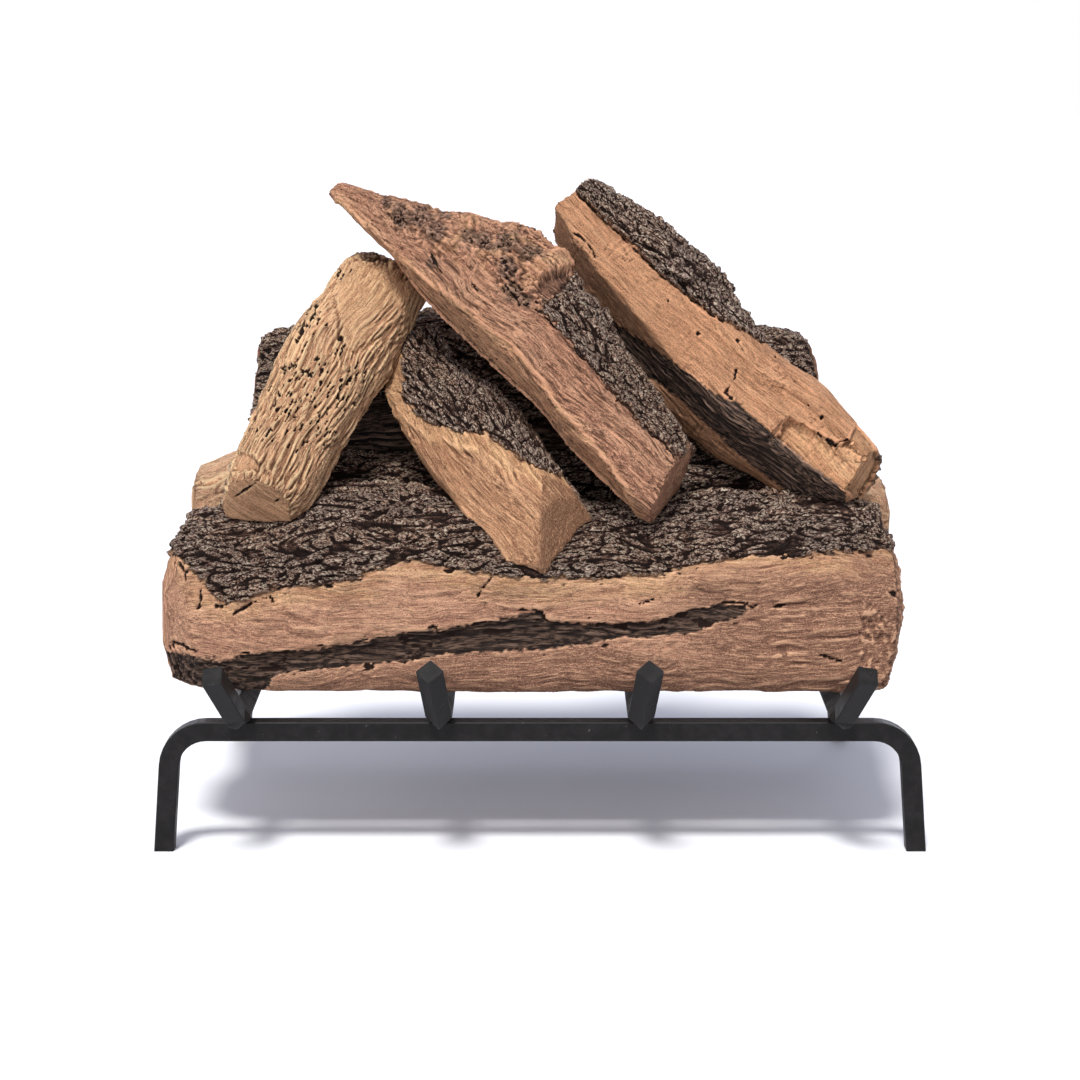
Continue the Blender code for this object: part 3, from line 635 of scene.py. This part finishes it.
def burnt_share(log, burns, seed):
    """1 in the black flecks that cluster about each burn."""
    near = np.zeros(len(log.points))
    for x, y, radius in burns:
        away = np.linalg.norm(log.spots - (x, y), axis=1)
        near = np.maximum(near, np.exp(-(away / radius) ** 2))
    flecks = layered(warp(log.local, seed, 5.0, 2.5) * (0.55, 1.0, 1.0) / 3.4, seed + 3, 3, 0.8)
    return smooth_step(0.66, 0.80, 0.62 * near + 1.25 * flecks) * smooth_step(0.10, 0.4, near) * log.front


def far_side(log, low, high, axis, seed):
    """1 on the side away from the camera, past a wandering line across one of the log's axes."""
    past = smooth_step(low, high, log.local[:, axis] + 5.0 * perlin(log.local / 15.0, seed))
    return past * (1.0 - log.front)


def dress(log, bark, *, fibre_size, fibre_depth, torn=0.9, stretch=0.055, chips=0.6, proud=0.8,
          recess=0.0, char=0.0, black=0.0, smooth=0.0, rough=0.0, gold_and_highlight=0.0, painted_shade=0.0):
    """Carve the log's surface, note what its material needs, and put it in its node's place."""
    wood = wood_height(log.grain, log.seed, fibre_size, fibre_depth, torn, stretch, chips)
    wood *= 1.0 - 0.8 * smooth
    knots = layered(warp(log.local * (0.7, 1.0, 1.0), log.seed, 18.0, 9.0) / 17.0, log.seed + 81, 3, 0.6)
    folds = np.abs(perlin(warp(log.local, log.seed + 3, 12.0, 6.0) / 8.0, log.seed + 91)) - 0.3
    crumbs = layered(log.local / 3.6, log.seed + 95, 2, 0.8)
    wood = blend(wood, 6.0 * knots + 2.6 * folds + 2.0 * crumbs + 0.4 * wood, rough)
    height = blend(wood, proud + bark_height(log.local, log.seed), bark)
    height -= (2.6 + 2.0 * proud) * bark * (1.0 - bark)
    height -= recess + 2.4 * black
    slow = log.blurred(height, HOLLOW_ROUNDS)
    log.push(height)
    count = len(log.points)
    # The shares the material reads, painted shade and painted highlights among them
    shares = {"bark": bark, "char": char, "black": black, "plain": smooth, "gold_and_highlight": gold_and_highlight, "painted_shade": painted_shade}
    for name, values in shares.items():
        log.keep(name, values + np.zeros(count))
    log.keep("relief", height)
    # hollow: how far each point lies below its blurred surroundings, from which the material paints shade
    # and highlight
    log.keep("hollow", slow - height)
    log.keep("grain", log.grain + GRAIN_APART * log.seed)
    log.close(log.node, log_material(log.node))


def build_front_log():
    log = Casting("front_log")
    top = ragged(log, FRONT_BARK_PX, 5, 7.0, 0.9)
    strip = ragged(log, FRONT_STRIP_PX, 6, 4.0, 0.9)
    back = smooth_step(20.0, 30.0, log.local[:, 2] + 6.0 * perlin(log.local / 20.0, 8)) * (1.0 - log.ends)
    bark = np.maximum(top, back * (1.0 - log.front))
    # Black: painted shade in the cracks and pits, and the char strip's own black
    black = np.maximum(cracks_share(log, FRONT_CRACKS_PX, 9), scattered_pits(log, 26.0, 0.30, 10, 0.07))
    holes = smooth_step(0.15, 0.35, layered(log.local * (0.35, 1.0, 1.0) / 8.0, 12, 3, 0.7))
    black = np.maximum(black, 0.9 * strip * holes)
    beside = np.maximum(inside_by(log.spots, FRONT_STRIP_PX), inside_by(log.spots, FRONT_BARK_PX))
    crumbs = smooth_step(-13.0, -2.0, beside) * scattered_pits(log, 5.0, 0.22, 17, 0.30, 0.6)
    black = np.maximum(black, crumbs * log.front * (1.0 - strip))
    # Painted highlight: a golden band along the face's upper edge, just below the bark
    below = -inside_by(log.spots, FRONT_BARK_PX) + 14.0 * perlin(log.local / (50.0, 16.0, 16.0), 13)
    gold_and_highlight = smooth_step(34.0, 6.0, below) * log.front
    drift = 30.0 * perlin(log.local / (60.0, 24.0, 24.0), 14)
    # Painted shade: the front face darker low down, most in its middle, darker towards its right end and
    # over the folds at that end
    middle = np.exp(-((log.spots[:, 0] - 570.0) / 170.0) ** 2)
    painted_shade = (0.35 + 1.1 * middle) * smooth_step(636.0, 664.0, log.spots[:, 1] + drift)
    painted_shade = np.maximum(painted_shade, 1.3 * smooth_step(620.0, 780.0, log.spots[:, 0] + 2.0 * drift)) * log.front
    broken = log.ends * smooth_step(0.5, 0.8, log.local[:, 0] / log.length)
    stripes = smooth_step(0.0, 0.25, perlin(log.local / (9.0, 14.0, 5.0), 16)) * broken
    folds = np.maximum(broken, ragged(log, FRONT_FOLDS_PX, 18, 4.0, 3.0))
    right = smooth_step(600.0, 760.0, log.spots[:, 0] + drift) * log.front * (1.0 - strip) * (1.0 - folds)
    waves = np.abs(perlin(warp(log.local, 19, 70.0, 11.0) * (0.045, 1.0, 1.0) / 9.5, 20))
    right *= smooth_step(586.0, 618.0, log.spots[:, 1] + 0.4 * drift)
    right *= smooth_step(-0.30, 0.30, perlin(log.local / (50.0, 13.0, 13.0), 21))
    furrow = (1.0 - smooth_step(0.0, 0.15, waves)) * right
    black = np.maximum(black, 0.42 * strip)
    burnt = 1.5 * strip * layered(log.local * (0.3, 1.0, 1.0) / 6.0, 15, 3, 0.7)
    dress(log, bark, black=black * (1.0 - top), char=np.maximum(strip, 0.22 * stripes),
          gold_and_highlight=gold_and_highlight * (1.0 - broken), painted_shade=np.maximum(painted_shade * (1.0 - gold_and_highlight), folds), rough=0.8 * folds,
          recess=burnt + 1.8 * furrow, fibre_size=3.6, fibre_depth=0.65 + 0.8 * strip, torn=0.6)


def build_rear_base_log():
    log = Casting("rear_base_log")
    rim = smooth_step(-3.0, 3.0, log.local[:, 0] - 66.0 + 8.0 * perlin(log.local / 12.0, 12))
    low = smooth_step(0.35, 0.6, log.local[:, 2] / 170.0 + 0.1 * perlin(log.local / 30.0, 13))
    bark = rim * (1.0 - log.ends) * low * (1.0 - smooth_step(545.0, 560.0, log.local[:, 0]))
    # Painted shade in the notch, which is also cut in
    black = cracks_share(log, (BASE_NOTCH_PX,), 14) * 0.3
    dress(log, bark, recess=6.0 * cracks_share(log, (BASE_NOTCH_PX,), 14), black=black,
          char=rim * (1.0 - low) * (1.0 - log.ends) * 0.8, fibre_size=5.0, fibre_depth=1.0)


def build_rear_top_log():
    log = Casting("rear_top_log")
    # An outlined patch of the front face and the underside are darkened with the char colours
    char = ragged(log, CROWN_DARK_PX, 24, 8.0)
    under = smooth_step(26.0, 18.0, log.local[:, 2] + 8.0 * perlin(log.local / 20.0, 25))
    bark = (1.0 - log.ends) * (1.0 - char) * (1.0 - under)
    dress(log, bark, char=np.maximum(char, 0.9 * under), fibre_size=4.4, fibre_depth=1.4, torn=1.6,
          stretch=0.08)


def build_left_log():
    log = Casting("left_log", LEFT_ENDS)
    bit = ragged(log, LEFT_BARK_PX, 32)
    behind = far_side(log, 4.0, 12.0, 1, 33)
    bark = np.maximum(0.6 * bit, behind * (1.0 - log.ends))
    patch = ragged(log, LEFT_SMOOTH_PX, 34, 8.0, 3.0)
    step = ragged(log, LEFT_STEP_PX, 35, 2.0)
    smooth = np.maximum(np.maximum(0.8 * patch, log.ends), step)
    # Black: painted shade in the pits, cracks and slits
    black = np.maximum(pits_share(log, LEFT_PITS_PX, 36), cracks_share(log, LEFT_CRACKS_PX, 37))
    black = np.maximum(black, slits_share(log, LEFT_SLITS_PX, LEFT_GRAIN_PX, 38))
    rim = 1.0 - smooth_step(0.5, 2.6, from_line(log.spots, LEFT_RIM_PX) + perlin(log.local / 4.0, 39))
    dress(log, bark, black=black, smooth=smooth, gold_and_highlight=0.6 * patch,
          recess=3.5 * step + 1.6 * rim * log.front,
          fibre_size=3.1, fibre_depth=1.6, torn=1.8, chips=0.25)


def build_centre_log():
    log = Casting("centre_log", CENTRE_ENDS)
    top = ragged(log, CENTRE_BARK_PX, 44, 6.0)
    behind = far_side(log, -4.0, 6.0, 2, 45)
    bark = np.maximum(top, behind) * (1.0 - log.ends)
    # Painted highlight: golden paint along the ledge just below the bark, which is also pushed out
    below = -inside_by(log.spots, CENTRE_BARK_PX) + 8.0 * perlin(log.local / (40.0, 8.0, 8.0), 46)
    gold_and_highlight = smooth_step(26.0, 12.0, below) * log.front * (1.0 - log.ends)
    cut = ragged(log, CENTRE_END_PX, 47, 1.0)
    ledge = np.exp(-((below - 15.0) / 5.0) ** 2) * log.front * (1.0 - cut)
    # Painted shade on the cut end face, with a little of the char colours, and lower down the front face
    painted_shade = np.maximum(cut, 0.35 * smooth_step(20.0, 32.0, below) * log.front)
    dress(log, bark, smooth=0.7 * cut, gold_and_highlight=gold_and_highlight * (1.0 - cut), painted_shade=1.3 * painted_shade, char=0.14 * cut,
          recess=-2.6 * ledge, fibre_size=3.0, fibre_depth=0.8, torn=0.9, proud=1.0)


def build_long_top_log():
    log = Casting("long_top_log", LONG_ENDS)
    side = ragged(log, LONG_BARK_PX, 72, 5.0)
    behind = far_side(log, -2.0, 8.0, 2, 73)
    behind *= smooth_step(120.0, 160.0, log.local[:, 0])
    bark = np.maximum(side, behind) * (1.0 - log.ends)
    rough = ragged(log, LONG_KNOTS_PX, 74, 8.0, 4.0)
    # Black: the burns' own black flecks, and painted shade in the pits and cracks
    burnt = burnt_share(log, LONG_BURNS_PX, 75)
    black = np.maximum(burnt, pits_share(log, LONG_PITS_PX, 76))
    black = np.maximum(black, cracks_share(log, LONG_CRACKS_PX, 77))
    stained = np.zeros(len(log.points))
    for x, y, radius in LONG_BURNS_PX:
        away = np.linalg.norm(log.spots - (x, y), axis=1)
        stained = np.maximum(stained, np.exp(-(away / (1.1 * radius)) ** 2))
    stained += 0.5 * layered(log.local / 7.0, 80, 3)
    char = 0.75 * smooth_step(0.35, 0.75, stained) * log.front
    # Painted highlight: golden paint along the ridge's crest; the knots' gold and the low face's gold are
    # their own tone
    above = np.clip(-inside_by(log.spots, LONG_LOW_PX), -40.0, 40.0)
    low = smooth_step(4.0, -4.0, above + 2.0 * perlin(log.local / (24.0, 8.0, 8.0), 81)) * log.front
    crest = np.exp(-((above + 0.5) / 5.0) ** 2) * log.front * (1.0 - rough) * (1.0 - bark)
    gold_and_highlight = np.maximum(crest, 0.8 * rough * smooth_step(0.0, 0.3, perlin(log.local / 18.0, 83)))
    # Painted highlight on the knob's top ledge, and painted shade under it in dim paint and char colours;
    # both are also carved
    knob = ragged(log, LONG_KNOB_PX, 84, 5.0, 6.0)
    under = ragged(log, LONG_UNDER_PX, 85, 3.0, 4.0)
    gold_and_highlight = np.maximum(gold_and_highlight, knob)
    rough = rough * (1.0 - 0.5 * knob) * (1.0 - 0.7 * under)
    dress(log, bark * (1.0 - knob), black=black * (1.0 - bark) * (1.0 - 0.8 * knob),
          char=np.maximum(char * (1.0 - knob), 0.35 * under), rough=rough, smooth=0.5 * log.ends,
          gold_and_highlight=np.maximum(gold_and_highlight, 0.6 * low), painted_shade=under,
          recess=3.0 * low - 3.4 * crest - 5.0 * knob + 3.4 * under,
          fibre_size=3.0, fibre_depth=0.9, torn=1.0, stretch=0.05, chips=0.4, proud=2.0)


def build_right_log():
    log = Casting("right_log", RIGHT_ENDS)
    top = ragged(log, RIGHT_BARK_PX, 58, 4.0)
    char = ragged(log, RIGHT_CHAR_PX, 59, 3.0) * (1.0 - ragged(log, RIGHT_STRIP_PX, 60, 4.0))
    behind = far_side(log, 10.0, 20.0, 1, 61)
    bark = np.maximum(top, behind) * (1.0 - log.ends)
    # Black: painted shade in the pits and cracks, and along the step's upper edge
    black = np.maximum(pits_share(log, RIGHT_PITS_PX, 62), cracks_share(log, RIGHT_CRACKS_PX, 63))
    black = np.maximum(black, scattered_pits(log, 13.0, 0.16, 64, 0.07) * (1.0 - char))
    marks = 0.8 * smooth_step(0.05, 0.4, perlin(log.local / (3.2, 11.0, 11.0), 65)) * (1.0 - char)
    marks *= smooth_step(0.0, 0.3, perlin(log.local / 40.0, 66))
    step = ragged(log, RIGHT_STEP_PX, 67, 1.5, 0.8) * (1.0 - char)
    dress(log, bark, char=char, black=black * (1.0 - bark), smooth=0.35 * (1.0 - char), gold_and_highlight=0.8 * step,
          recess=1.2 * char + marks + 4.6 * step, fibre_size=3.2, fibre_depth=0.8 + 0.6 * char,
          torn=1.0, proud=2.0)


class Nodes:
    """Short forms for a material's nodes."""

    def __init__(self, name):
        self.material = bpy.data.materials.new(name)
        self.material.use_nodes = True
        self.tree = self.material.node_tree
        self.tree.nodes.clear()

    def set(self, socket, value):
        if isinstance(value, bpy.types.NodeSocket):
            self.tree.links.new(value, socket)
        else:
            socket.default_value = value

    def attribute(self, name, output):
        node = self.tree.nodes.new("ShaderNodeAttribute")
        node.attribute_name = name
        return node.outputs[output]

    def math(self, operation, *values):
        node = self.tree.nodes.new("ShaderNodeMath")
        node.operation = operation
        for socket, value in zip(node.inputs, values):
            self.set(socket, value)
        return node.outputs[0]

    def scaled(self, vector, scale):
        node = self.tree.nodes.new("ShaderNodeVectorMath")
        node.operation = "MULTIPLY"
        self.set(node.inputs[0], vector)
        node.inputs[1].default_value = scale
        return node.outputs[0]

    def noise(self, vector, scale, detail=3.0, roughness=0.55, distortion=0.0):
        node = self.tree.nodes.new("ShaderNodeTexNoise")
        self.set(node.inputs["Vector"], vector)
        node.inputs["Scale"].default_value = scale
        node.inputs["Detail"].default_value = detail
        node.inputs["Roughness"].default_value = roughness
        node.inputs["Distortion"].default_value = distortion
        return node.outputs["Fac"]

    def span(self, value, low, high, start=0.0, end=1.0):
        node = self.tree.nodes.new("ShaderNodeMapRange")
        node.interpolation_type = "SMOOTHSTEP"
        self.set(node.inputs["Value"], value)
        for name, number in (("From Min", low), ("From Max", high), ("To Min", start), ("To Max", end)):
            node.inputs[name].default_value = number
        return node.outputs["Result"]

    def mix(self, share, a, b):
        node = self.tree.nodes.new("ShaderNodeMix")
        node.data_type = "RGBA"
        self.set(node.inputs[0], share)
        for socket, value in ((node.inputs[6], a), (node.inputs[7], b)):
            self.set(socket, (*value, 1.0) if isinstance(value, tuple) else value)
        return node.outputs[2]

    def bump(self, height, distance, strength):
        node = self.tree.nodes.new("ShaderNodeBump")
        node.inputs["Strength"].default_value = strength
        node.inputs["Distance"].default_value = distance
        self.set(node.inputs["Height"], height)
        return node.outputs["Normal"]

    def shade(self, colour, roughness, normal, specular):
        shader = self.tree.nodes.new("ShaderNodeBsdfPrincipled")
        self.set(shader.inputs["Base Color"], colour)
        self.set(shader.inputs["Roughness"], roughness)
        self.set(shader.inputs["Normal"], normal)
        shader.inputs["Specular IOR Level"].default_value = specular
        output = self.tree.nodes.new("ShaderNodeOutputMaterial")
        self.tree.links.new(shader.outputs[0], output.inputs["Surface"])
        return self.material


def log_material(name):
    made = Nodes(f"{name}_cement")
    light, dark, furrows = WOOD_TONES[name]
    darker = tuple(c * 0.30 for c in dark)
    # dim is the paint for painted shade
    dim = tuple(c * 0.62 for c in dark)
    paler = tuple(min(1.0, c * gain) for c, gain in zip(light, (1.35, 1.26, 1.24)))
    grain = made.attribute("grain", "Vector")
    bark, char, black, plain, relief, hollow, gold_and_highlight, painted_shade = (
        made.attribute(kept, "Fac")
        for kept in ("bark", "char", "black", "plain", "relief", "hollow", "gold_and_highlight", "painted_shade"))
    fibres = made.scaled(grain, (0.055, 1.0, 1.0))
    streaks = made.noise(fibres, 0.15, 5.0, 0.66, 0.3)
    fine = made.noise(fibres, 0.95, 4.0, 0.72)
    split = made.noise(made.scaled(grain, (0.075, 1.0, 1.0)), 0.26, 3.0, 0.6, 0.3)
    dashes = made.noise(made.scaled(grain, (0.11, 1.0, 1.0)), 0.48, 2.0, 0.5)
    patches = made.noise(made.scaled(grain, (0.35, 1.0, 1.0)), 0.026, 4.0, 0.62)
    mottle = made.noise(made.scaled(grain, (0.5, 1.0, 1.0)), 0.22, 3.0, 0.6)
    specks = made.noise(made.scaled(grain, (0.6, 1.0, 1.0)), 1.1, 2.0)
    share = made.span(streaks, 0.40, 0.62)
    wood = made.mix(share, light, dark)
    wood = made.mix(made.span(patches, 0.42, 0.62, 0.0, 0.6), wood, dark)
    stains = made.noise(made.scaled(grain, (0.13, 1.0, 1.0)), 0.075, 4.0, 0.68, 0.4)
    wood = made.mix(made.span(stains, 0.53, 0.66, 0.0, 0.55), wood, tuple(c * 0.6 for c in dark))
    golden = made.mix(share, GOLD_LIGHT, GOLD_DARK)
    # Golden paint: partly the wood's own golden tone, partly painted highlights along edges, the ridge
    # crest and the knob's top
    wood = made.mix(made.math("MULTIPLY", gold_and_highlight, made.span(mottle, 0.62, 0.38, 0.55, 1.0)), wood, golden)
    # Painted shade: darken the wood towards dim where the log's shaded faces lie
    wood = made.mix(made.math("MULTIPLY", painted_shade, made.span(mottle, 0.34, 0.62, 0.7, 1.0)), wood, dim)
    wood = made.mix(made.span(mottle, 0.56, 0.72, 0.0, 0.45), wood, dark)
    lively = made.span(made.noise(made.scaled(grain, (0.25, 1.0, 1.0)), 0.05, 2.0), 0.40, 0.60, 0.35, 1.0)
    wood = made.mix(made.span(fine, 0.46, 0.40, 0.0, 0.55), wood, paler)
    wood = made.mix(made.math("MULTIPLY", made.span(fine, 0.54, 0.60, 0.0, 0.75), lively), wood, darker)
    grit = made.noise(made.scaled(grain, (0.7, 1.0, 1.0)), 1.25, 2.0, 0.6)
    wood = made.mix(made.span(grit, 0.47, 0.38, 0.0, 0.45), wood, paler)
    wood = made.mix(made.span(grit, 0.56, 0.64, 0.0, 0.6), wood, darker)
    gap = made.math("ABSOLUTE", made.math("SUBTRACT", split, 0.5))
    line = made.math("MAXIMUM", made.span(gap, 0.022, 0.004, 0.0, 0.7), made.span(dashes, 0.59, 0.67))
    line = made.math("MULTIPLY", line, made.math("SUBTRACT", 1.0, plain))
    wood = made.mix(made.math("MULTIPLY", line, furrows), wood, darker)
    wood = made.mix(made.span(specks, 0.67, 0.74, 0.0, 0.7), wood, darker)
    # Painted shade in the wood's hollows and painted highlight on its raised parts
    wood = made.mix(made.math("MULTIPLY", made.span(hollow, 0.10, 0.9, 0.0, 1.0), lively), wood, darker)
    wood = made.mix(made.span(hollow, -0.1, -0.8, 0.0, 0.7), wood, paler)
    soot = made.mix(made.span(fine, 0.47, 0.55), CHAR_LIGHT, CHAR_DARK)
    soot = made.mix(made.span(streaks, 0.49, 0.60, 0.0, 0.8), soot, CHAR_DARK)
    # Painted highlight on the raised char in CHAR_CREST and painted shade in its hollows in CHAR_DARK
    soot = made.mix(made.span(hollow, -0.25, -1.1, 0.0, 0.8), soot, CHAR_CREST)
    soot = made.mix(made.span(hollow, 0.0, 0.7), soot, CHAR_DARK)
    wood = made.mix(char, wood, soot)
    flakes = made.scaled(grain, (0.34, 1.0, 1.0))
    crumbs = made.noise(flakes, 0.46, 5.0, 0.80, 0.9)
    veins = made.noise(made.scaled(grain, (0.30, 1.0, 1.0)), 0.25, 4.0, 0.68, 1.0)
    vein = made.span(made.math("ABSOLUTE", made.math("SUBTRACT", veins, 0.5)), 0.034, 0.004)
    sparks = made.noise(flakes, 1.15, 3.0, 0.65)
    # Painted shade: the bark turns towards BARK_DEEP in its hollows and low gaps
    high = made.span(hollow, 1.5, -1.2)
    plate = made.span(relief, -2.4, 2.1)
    rind = made.mix(made.span(high, 0.20, 0.57), BARK_DEEP, BARK_MIDDLE)
    rind = made.mix(made.span(plate, 0.42, 0.04, 0.0, 0.88), rind, BARK_DEEP)
    # The raised crests and veins take the tan paints: partly the crests' own paler tone, partly painted
    # highlight
    tan = made.mix(made.span(patches, 0.40, 0.62), BARK_CREST, BARK_CREST_GREY)
    raised = made.math("MULTIPLY", made.span(high, 0.29, 0.67), made.span(plate, 0.14, 0.66, 0.12, 1.0))
    crest = made.math("MULTIPLY", made.span(crumbs, 0.495, 0.545, 0.0, 0.85), raised)
    rind = made.mix(crest, rind, tan)
    rind = made.mix(made.math("MULTIPLY", vein, made.math("MULTIPLY", raised, 0.6)), rind, tan)
    rind = made.mix(made.span(sparks, 0.48, 0.43, 0.0, 0.95), rind, BARK_DEEP)
    rind = made.mix(made.span(crumbs, 0.46, 0.42, 0.0, 0.92), rind, BARK_DEEP)
    # Painted glints: near-white flecks on the raised crests
    glint = made.math("MULTIPLY", made.span(sparks, 0.54, 0.58), made.span(raised, 0.35, 0.7))
    rind = made.mix(glint, rind, BARK_GLINT)
    colour = made.mix(bark, wood, rind)
    # Black: the char strip's and burns' own black, and painted shade in cracks, pits, slits and the notch
    colour = made.mix(made.span(black, 0.2, 0.7), colour, BARK_DEEP)
    gloss = made.math("MULTIPLY", bark, made.span(crumbs, 0.40, 0.62, 0.10, 0.50))
    roughness = made.math("SUBTRACT", 0.85, gloss)
    wood_bump = made.math("MULTIPLY", made.math("ADD", fine, streaks), -0.9)
    wood_bump = made.math("SUBTRACT", wood_bump, made.math("MULTIPLY", line, 0.5 * furrows))
    wood_bump = made.math("SUBTRACT", wood_bump, made.math("MULTIPLY", mottle, 0.5))
    wood_bump = made.math("SUBTRACT", wood_bump, made.math("MULTIPLY", grit, 0.6))
    bark_bump = made.math("ADD", made.math("MULTIPLY", crumbs, 2.8), made.math("MULTIPLY", vein, 0.45))
    bark_bump = made.math("ADD", bark_bump, made.math("MULTIPLY", sparks, 1.6))
    bump = made.math("ADD", made.math("MULTIPLY", wood_bump, made.math("SUBTRACT", 1.0, bark)),
                     made.math("MULTIPLY", bark_bump, bark))
    return made.shade(colour, roughness, made.bump(bump, LOG_BUMP, 1.0), specular=0.22)


def steel_material(name):
    made = Nodes(name)
    place = made.tree.nodes.new("ShaderNodeTexCoord").outputs["Object"]
    mottle = made.noise(place, 90.0, 4.0, 0.6)
    grit = made.noise(place, 900.0, 2.0, 0.5)
    chips = made.span(made.noise(place, 260.0, 3.0, 0.6), 0.70, 0.74)
    colour = made.mix(made.span(mottle, 0.35, 0.7), (0.010, 0.009, 0.009), (0.019, 0.017, 0.017))
    colour = made.mix(made.math("MULTIPLY", chips, 0.5), colour, (0.20, 0.19, 0.18))
    roughness = made.span(mottle, 0.3, 0.7, 0.40, 0.56)
    height = made.math("ADD", made.math("MULTIPLY", mottle, 0.6), made.math("MULTIPLY", grit, 0.25))
    return made.shade(colour, roughness, made.bump(height, STEEL_BUMP, 0.5), specular=0.14)


def dress_grate():
    steel = steel_material("grate_black_paint")
    weld = steel_material("weld_black_paint")
    for name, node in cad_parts.items():
        if name.endswith("_log"):
            continue
        node.data.materials.clear()
        node.data.materials.append(weld if name.startswith("weld") else steel)


def add_sun(name, strength, breadth, direction, colour):
    lamp = bpy.data.lights.new(name, "SUN")
    lamp.color = colour
    lamp.energy = strength
    lamp.angle = breadth
    item = bpy.data.objects.new(name, lamp)
    item.rotation_euler = Vector(direction).to_track_quat("Z", "Y").to_euler()
    SCENE.collection.objects.link(item)


def sees_background(tree, path):
    """1 for the rays that show the white background: the camera's, and those that gloss and glass send."""
    either = path.outputs["Is Camera Ray"]
    for other in ("Is Glossy Ray", "Is Transmission Ray"):
        larger = tree.nodes.new("ShaderNodeMath")
        larger.operation = "MAXIMUM"
        tree.links.new(either, larger.inputs[0])
        tree.links.new(path.outputs[other], larger.inputs[1])
        either = larger.outputs[0]
    return either


def light_scene():
    for name, strength, breadth, direction, colour in SUNS:
        add_sun(name, strength, math.radians(breadth), direction, colour)
    world = bpy.data.worlds.new("studio")
    SCENE.world = world
    world.use_nodes = True
    tree = world.node_tree
    tree.nodes.clear()
    path = tree.nodes.new("ShaderNodeLightPath")
    lit = tree.nodes.new("ShaderNodeBackground")
    lit.inputs["Color"].default_value = (*SKY, 1.0)
    lit.inputs["Strength"].default_value = SKY_STRENGTH
    seen = tree.nodes.new("ShaderNodeBackground")
    seen.inputs["Color"].default_value = (1.0, 1.0, 1.0, 1.0)
    mix = tree.nodes.new("ShaderNodeMixShader")
    output = tree.nodes.new("ShaderNodeOutputWorld")
    tree.links.new(sees_background(tree, path), mix.inputs[0])
    tree.links.new(lit.outputs[0], mix.inputs[1])
    tree.links.new(seen.outputs[0], mix.inputs[2])
    tree.links.new(mix.outputs[0], output.inputs["Surface"])


def add_floor():
    mesh = bpy.data.meshes.new("floor")
    corners = [(x * FLOOR_REACH, y * FLOOR_REACH, 0.0) for x, y in ((-1, -1), (1, -1), (1, 1), (-1, 1))]
    mesh.from_pydata(corners, [], [(0, 1, 2, 3)])
    item = bpy.data.objects.new("floor", mesh)
    SCENE.collection.objects.link(item)
    made = Nodes("floor_paper")
    path = made.tree.nodes.new("ShaderNodeLightPath")
    seen = made.mix(sees_background(made.tree, path), FLOOR_BOUNCE, FLOOR_SEEN)
    paper = made.tree.nodes.new("ShaderNodeBsdfDiffuse")
    made.set(paper.inputs["Color"], seen)
    output = made.tree.nodes.new("ShaderNodeOutputMaterial")
    made.tree.links.new(paper.outputs[0], output.inputs["Surface"])
    mesh.materials.append(made.material)


def add_camera():
    camera = bpy.data.cameras.new("camera")
    camera.sensor_width = SENSOR_MM
    camera.lens = FOCAL_PX / IMAGE_SIDE * SENSOR_MM
    camera.clip_end = CAMERA_REACH
    item = bpy.data.objects.new("camera", camera)
    item.location = CAMERA_PLACE
    item.rotation_euler = Euler((math.pi / 2 - CAMERA_PITCH, 0.0, 0.0))
    SCENE.collection.objects.link(item)
    SCENE.camera = item


SCENE.view_settings.view_transform = "Standard"
add_camera()
light_scene()
add_floor()
dress_grate()
build_front_log()
build_rear_base_log()
build_rear_top_log()
build_left_log()
build_centre_log()
build_right_log()
build_long_top_log()
